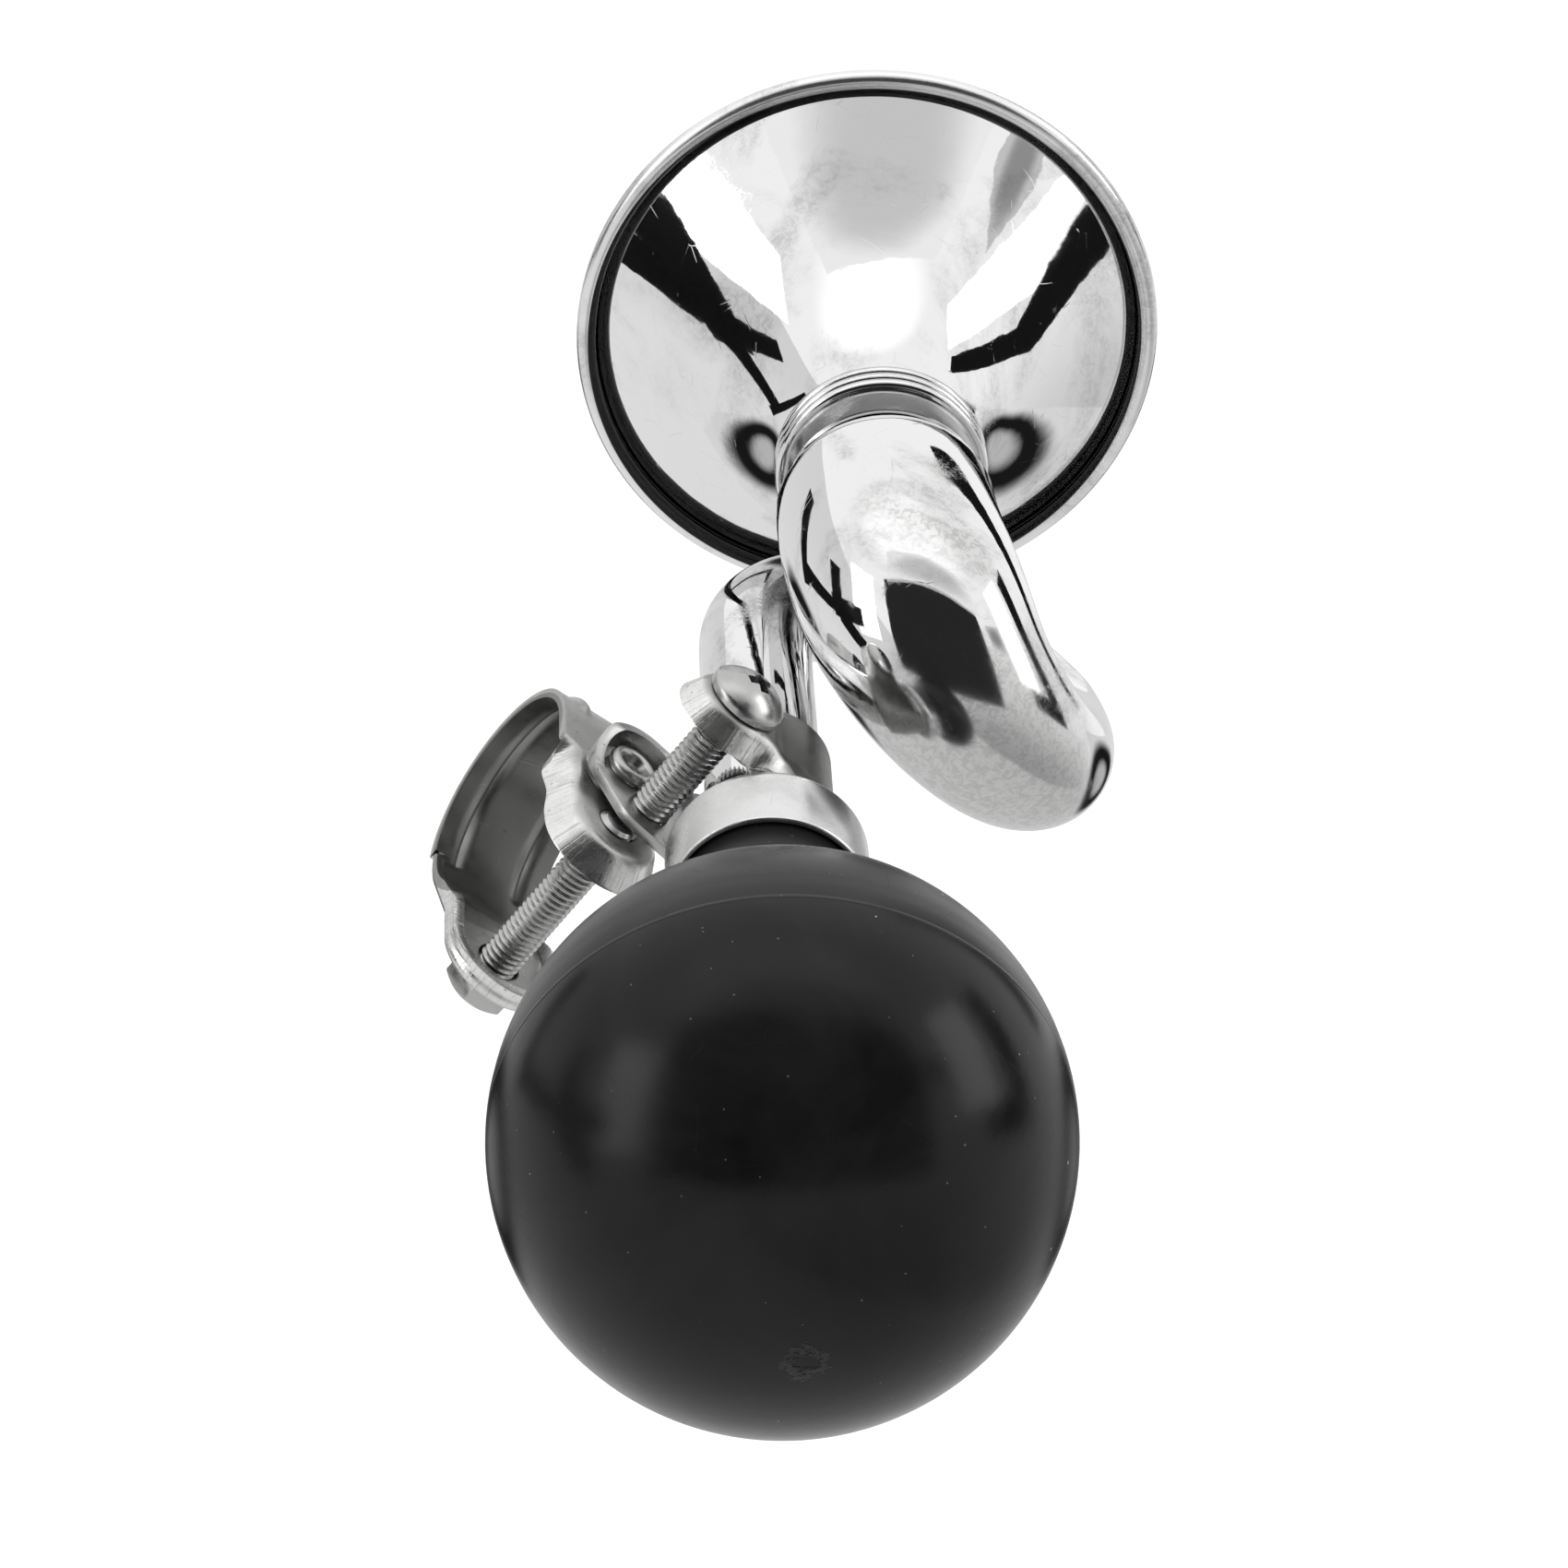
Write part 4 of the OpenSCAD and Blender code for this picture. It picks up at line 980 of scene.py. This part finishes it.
def make_arm():
    """The arm with its hood, from the CAD node's mesh, with eased edges."""
    bm = bmesh.new()
    bm.from_mesh(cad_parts["tube_clamp"].data)
    bmesh.ops.scale(bm, vec=(1 / MM, 1 / MM, 1 / MM), verts=bm.verts)
    bmesh.ops.remove_doubles(bm, verts=bm.verts, dist=0.001)
    for cut_at, facing in [((0, 0, 20.0), (0, 0, 1)), ((BEND_OUT_X + 0.3, 0, 0), (1, 0, 0))]:
        geom = bm.verts[:] + bm.edges[:] + bm.faces[:]
        bmesh.ops.bisect_plane(bm, geom=geom, plane_co=cut_at, plane_no=facing, clear_outer=True)
    bmesh.ops.holes_fill(bm, edges=bm.edges, sides=0)
    bmesh.ops.dissolve_limit(bm, angle_limit=math.radians(1), verts=bm.verts, edges=bm.edges)
    obj = to_object(bm, "arm_sheet", 40)
    ease_edges(obj, 0.22, 3, 35)
    return obj


dress(make_band(), "bar_clamp", "handlebar_band", SHEET_ZINC)
dress(make_strap(), "tube_clamp", "tube_clamp", SHEET_ZINC)
dress(make_arm(), "tube_clamp", "tube_clamp", ZINC)


# Pieces that keep their CAD mesh

def paint(node, finish):
    """Gives a CAD piece its finish."""
    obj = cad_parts[node]
    obj.data.materials.clear()
    obj.data.materials.append(finish)


# The swivel washer is painted near black as painted shade in the gap between the band and the arm
paint("swivel_washer", WASHER_SHADE)
for brass_piece in ("bulb_nipple", "reed_plug", "reed_shallot", "reed_tongue", "reed_clip"):
    paint(brass_piece, BRASS)


# Floor and light

CENTRE = Vector((0.015, 0.0, 0.045))
FLOOR_Z = -0.75
CARD_FAR, CARD_NEAR, LAMP_FAR = 0.8, 0.22, 0.9


def towards(azimuth, elevation):
    """Direction from the horn, in degrees round from the camera to its right and up."""
    az, el = math.radians(azimuth), math.radians(elevation)
    flat = BACK * math.cos(az) + RIGHT * math.sin(az)
    return flat * math.cos(el) + UP * math.sin(el)


def make_floor():
    """Pale floor well below the horn."""
    bm = bmesh.new()
    bmesh.ops.create_grid(bm, x_segments=1, y_segments=1, size=6.0)
    mesh = bpy.data.meshes.new("floor")
    bm.to_mesh(mesh)
    bm.free()
    floor = bpy.data.objects.new("floor", mesh)
    floor.location = (0, 0, FLOOR_Z)
    bpy.context.scene.collection.objects.link(floor)
    mat = bpy.data.materials.new("floor_white")
    mat.use_nodes = True
    n = Nodes(mat.node_tree)
    shader = mat.node_tree.nodes["Principled BSDF"]
    shader.inputs["Base Color"].default_value = grey(0.75)
    shader.inputs["Roughness"].default_value = 0.9
    shader.inputs["Specular IOR Level"].default_value = 0.0
    path = n.add("ShaderNodeLightPath")
    glow = n.add("ShaderNodeEmission", {"Color": (1, 1, 1, 1),
                 "Strength": n.times(path.outputs["Is Camera Ray"], 0.4)})
    both = n.add("ShaderNodeAddShader", {0: shader.outputs[0], 1: glow.outputs[0]})
    out = mat.node_tree.nodes["Material Output"]
    n.tree.links.new(both.outputs[0], out.inputs["Surface"])
    floor.data.materials.append(mat)


def card_tone(n, centre, sides, tone, rim_tone, hollow):
    """A card's tone, fading to rim_tone outwards and to hollow inwards where these are given."""
    if rim_tone is None:
        return grey(tone)
    place = n.add("ShaderNodeTexCoord").outputs["Object"]
    off = n.add("ShaderNodeVectorMath", {0: place, 1: centre}, operation="SUBTRACT").outputs[0]
    parts = []
    for side in sides:
        scaled = side * (2 / side.length_squared)
        dot = n.add("ShaderNodeVectorMath", {0: off, 1: scaled}, operation="DOT_PRODUCT")
        parts.append(n.math("POWER", n.math("ABSOLUTE", dot.outputs["Value"]), 2.0))
    reach = n.math("ADD", parts[0], parts[1])
    colour = grey(tone)
    if hollow is not None:
        colour = n.mix(n.ramp(reach, 0.05, 0.3), grey(hollow), colour)
    return n.mix(n.ramp(reach, 0.1 if hollow is None else 0.5, 1.0), colour, grey(rim_tone))


def put_card(name, centre, across, rise, tone, rim_tone=None, hollow=None):
    """A glowing or dark card that shows only in reflections."""
    bm = bmesh.new()
    bmesh.ops.create_grid(bm, x_segments=1, y_segments=1, size=0.5)
    turn = Matrix((across, rise, across.cross(rise).normalized())).transposed().to_4x4()
    bmesh.ops.transform(bm, matrix=Matrix.Translation(centre) @ turn, verts=bm.verts)
    mesh = bpy.data.meshes.new(name)
    bm.to_mesh(mesh)
    bm.free()
    card = bpy.data.objects.new(name, mesh)
    bpy.context.scene.collection.objects.link(card)
    mat = bpy.data.materials.new(name)
    mat.use_nodes = True
    mat.node_tree.nodes.clear()
    n = Nodes(mat.node_tree)
    colour = card_tone(n, centre, (across, rise), tone, rim_tone, hollow)
    glow = n.add("ShaderNodeEmission", {"Color": colour, "Strength": 1.0})
    end = n.add("ShaderNodeOutputMaterial")
    n.tree.links.new(glow.outputs[0], end.inputs["Surface"])
    mesh.materials.append(mat)
    card.visible_camera = False
    card.visible_diffuse = False
    card.visible_shadow = False


def make_card(name, azimuth, elevation, width, height, tone, rim_tone=None, hollow=None, roll=0):
    """A card given by its direction from the horn and its width and height in degrees."""
    out = towards(azimuth, elevation)
    level = UP.cross(out).normalized()
    rise = out.cross(level)
    turn = Matrix.Rotation(math.radians(roll), 3, out)
    across, tall = [2 * CARD_FAR * math.tan(math.radians(a / 2)) for a in (width, height)]
    put_card(name, CENTRE + out * CARD_FAR, turn @ level * across, turn @ rise * tall,
             tone, rim_tone, hollow)


def front_card(name, left, right, bottom, top, tone, rim_tone=None):
    """A card across the view, given by its edges in metres from the horn's centre."""
    centre = CENTRE + RIGHT * (left + right) / 2 + UP * (bottom + top) / 2 + BACK * CARD_NEAR
    put_card(name, centre, RIGHT * (right - left), UP * (top - bottom), tone, rim_tone)


def make_world():
    """White studio: plain white to the camera, and greyer low down in reflections."""
    world = bpy.data.worlds.new("studio")
    bpy.context.scene.world = world
    world.use_nodes = True
    world.node_tree.nodes.clear()
    n = Nodes(world.node_tree)
    path = n.add("ShaderNodeLightPath")
    seen = n.add("ShaderNodeBackground", {"Color": (1, 1, 1, 1), "Strength": 1.0})
    direction = n.add("ShaderNodeTexCoord").outputs["Generated"]
    height = n.add("ShaderNodeVectorMath", {0: direction, 1: UP}, operation="DOT_PRODUCT")
    level = n.ramp(height.outputs["Value"], -0.8, 0.2, 0.45, 1.0)
    lit = n.add("ShaderNodeBackground", {"Color": (1, 1, 1, 1), "Strength": level})
    both = n.add("ShaderNodeMixShader", {0: path.outputs["Is Camera Ray"], 1: lit.outputs[0],
                 2: seen.outputs[0]})
    out = n.add("ShaderNodeOutputWorld")
    n.tree.links.new(both.outputs[0], out.inputs["Surface"])


def lamp(name, azimuth, elevation, width, height, power, mirrored=True):
    """A soft rectangular lamp aimed at the horn."""
    data = bpy.data.lights.new(name, "AREA")
    data.shape = "RECTANGLE"
    data.size = width
    data.size_y = height
    data.energy = power
    obj = bpy.data.objects.new(name, data)
    out = towards(azimuth, elevation)
    level = UP.cross(out).normalized()
    turn = Matrix((level, out.cross(level), out)).transposed()
    obj.location = CENTRE + out * LAMP_FAR
    obj.rotation_mode = "QUATERNION"
    obj.rotation_quaternion = turn.to_quaternion()
    obj.visible_glossy = mirrored
    bpy.context.scene.collection.objects.link(obj)


DARK = 0.008

make_floor()
make_world()
lamp("left_soft", -62, 12, 0.3, 0.55, 1.0)
lamp("right_soft", 80, 22, 0.3, 0.5, 0.9)
lamp("top_soft", 0, 62, 0.6, 0.6, 2.0, mirrored=False)
front_card("camera_side", -0.19, 0.234, -0.09, 0.175, 0.02)
front_card("above_camera", -0.17, 0.27, 0.165, 0.31, 0.62, 0.95)
make_card("top_glow", -6, 64, 80, 50, 1.3, 1.0)
make_card("left_strip", -80, 3, 28, 10, DARK)
make_card("left_post", -88, 14, 9, 15, DARK)
make_card("left_far_strip", -106, 5, 34, 6, DARK, roll=-10)
make_card("left_far_post", -122, 17, 7, 28, DARK)
make_card("left_low_strip", -80, -6, 20, 9, DARK, roll=-40)
make_card("left_behind", -146, -10, 44, 28, 0.01, 0.75, hollow=0.5)
make_card("right_strip", 94, 2, 28, 9, DARK)
make_card("right_post", 103, 19, 11, 32, DARK)
make_card("right_far_post", 137, 32, 9, 44, DARK)
make_card("right_behind", 149, -10, 36, 28, 0.01, 0.75, hollow=0.5)
make_card("right_stand", 60, 21, 13, 8, 0.3, 0.6)

bpy.context.scene.view_settings.view_transform = "Standard"
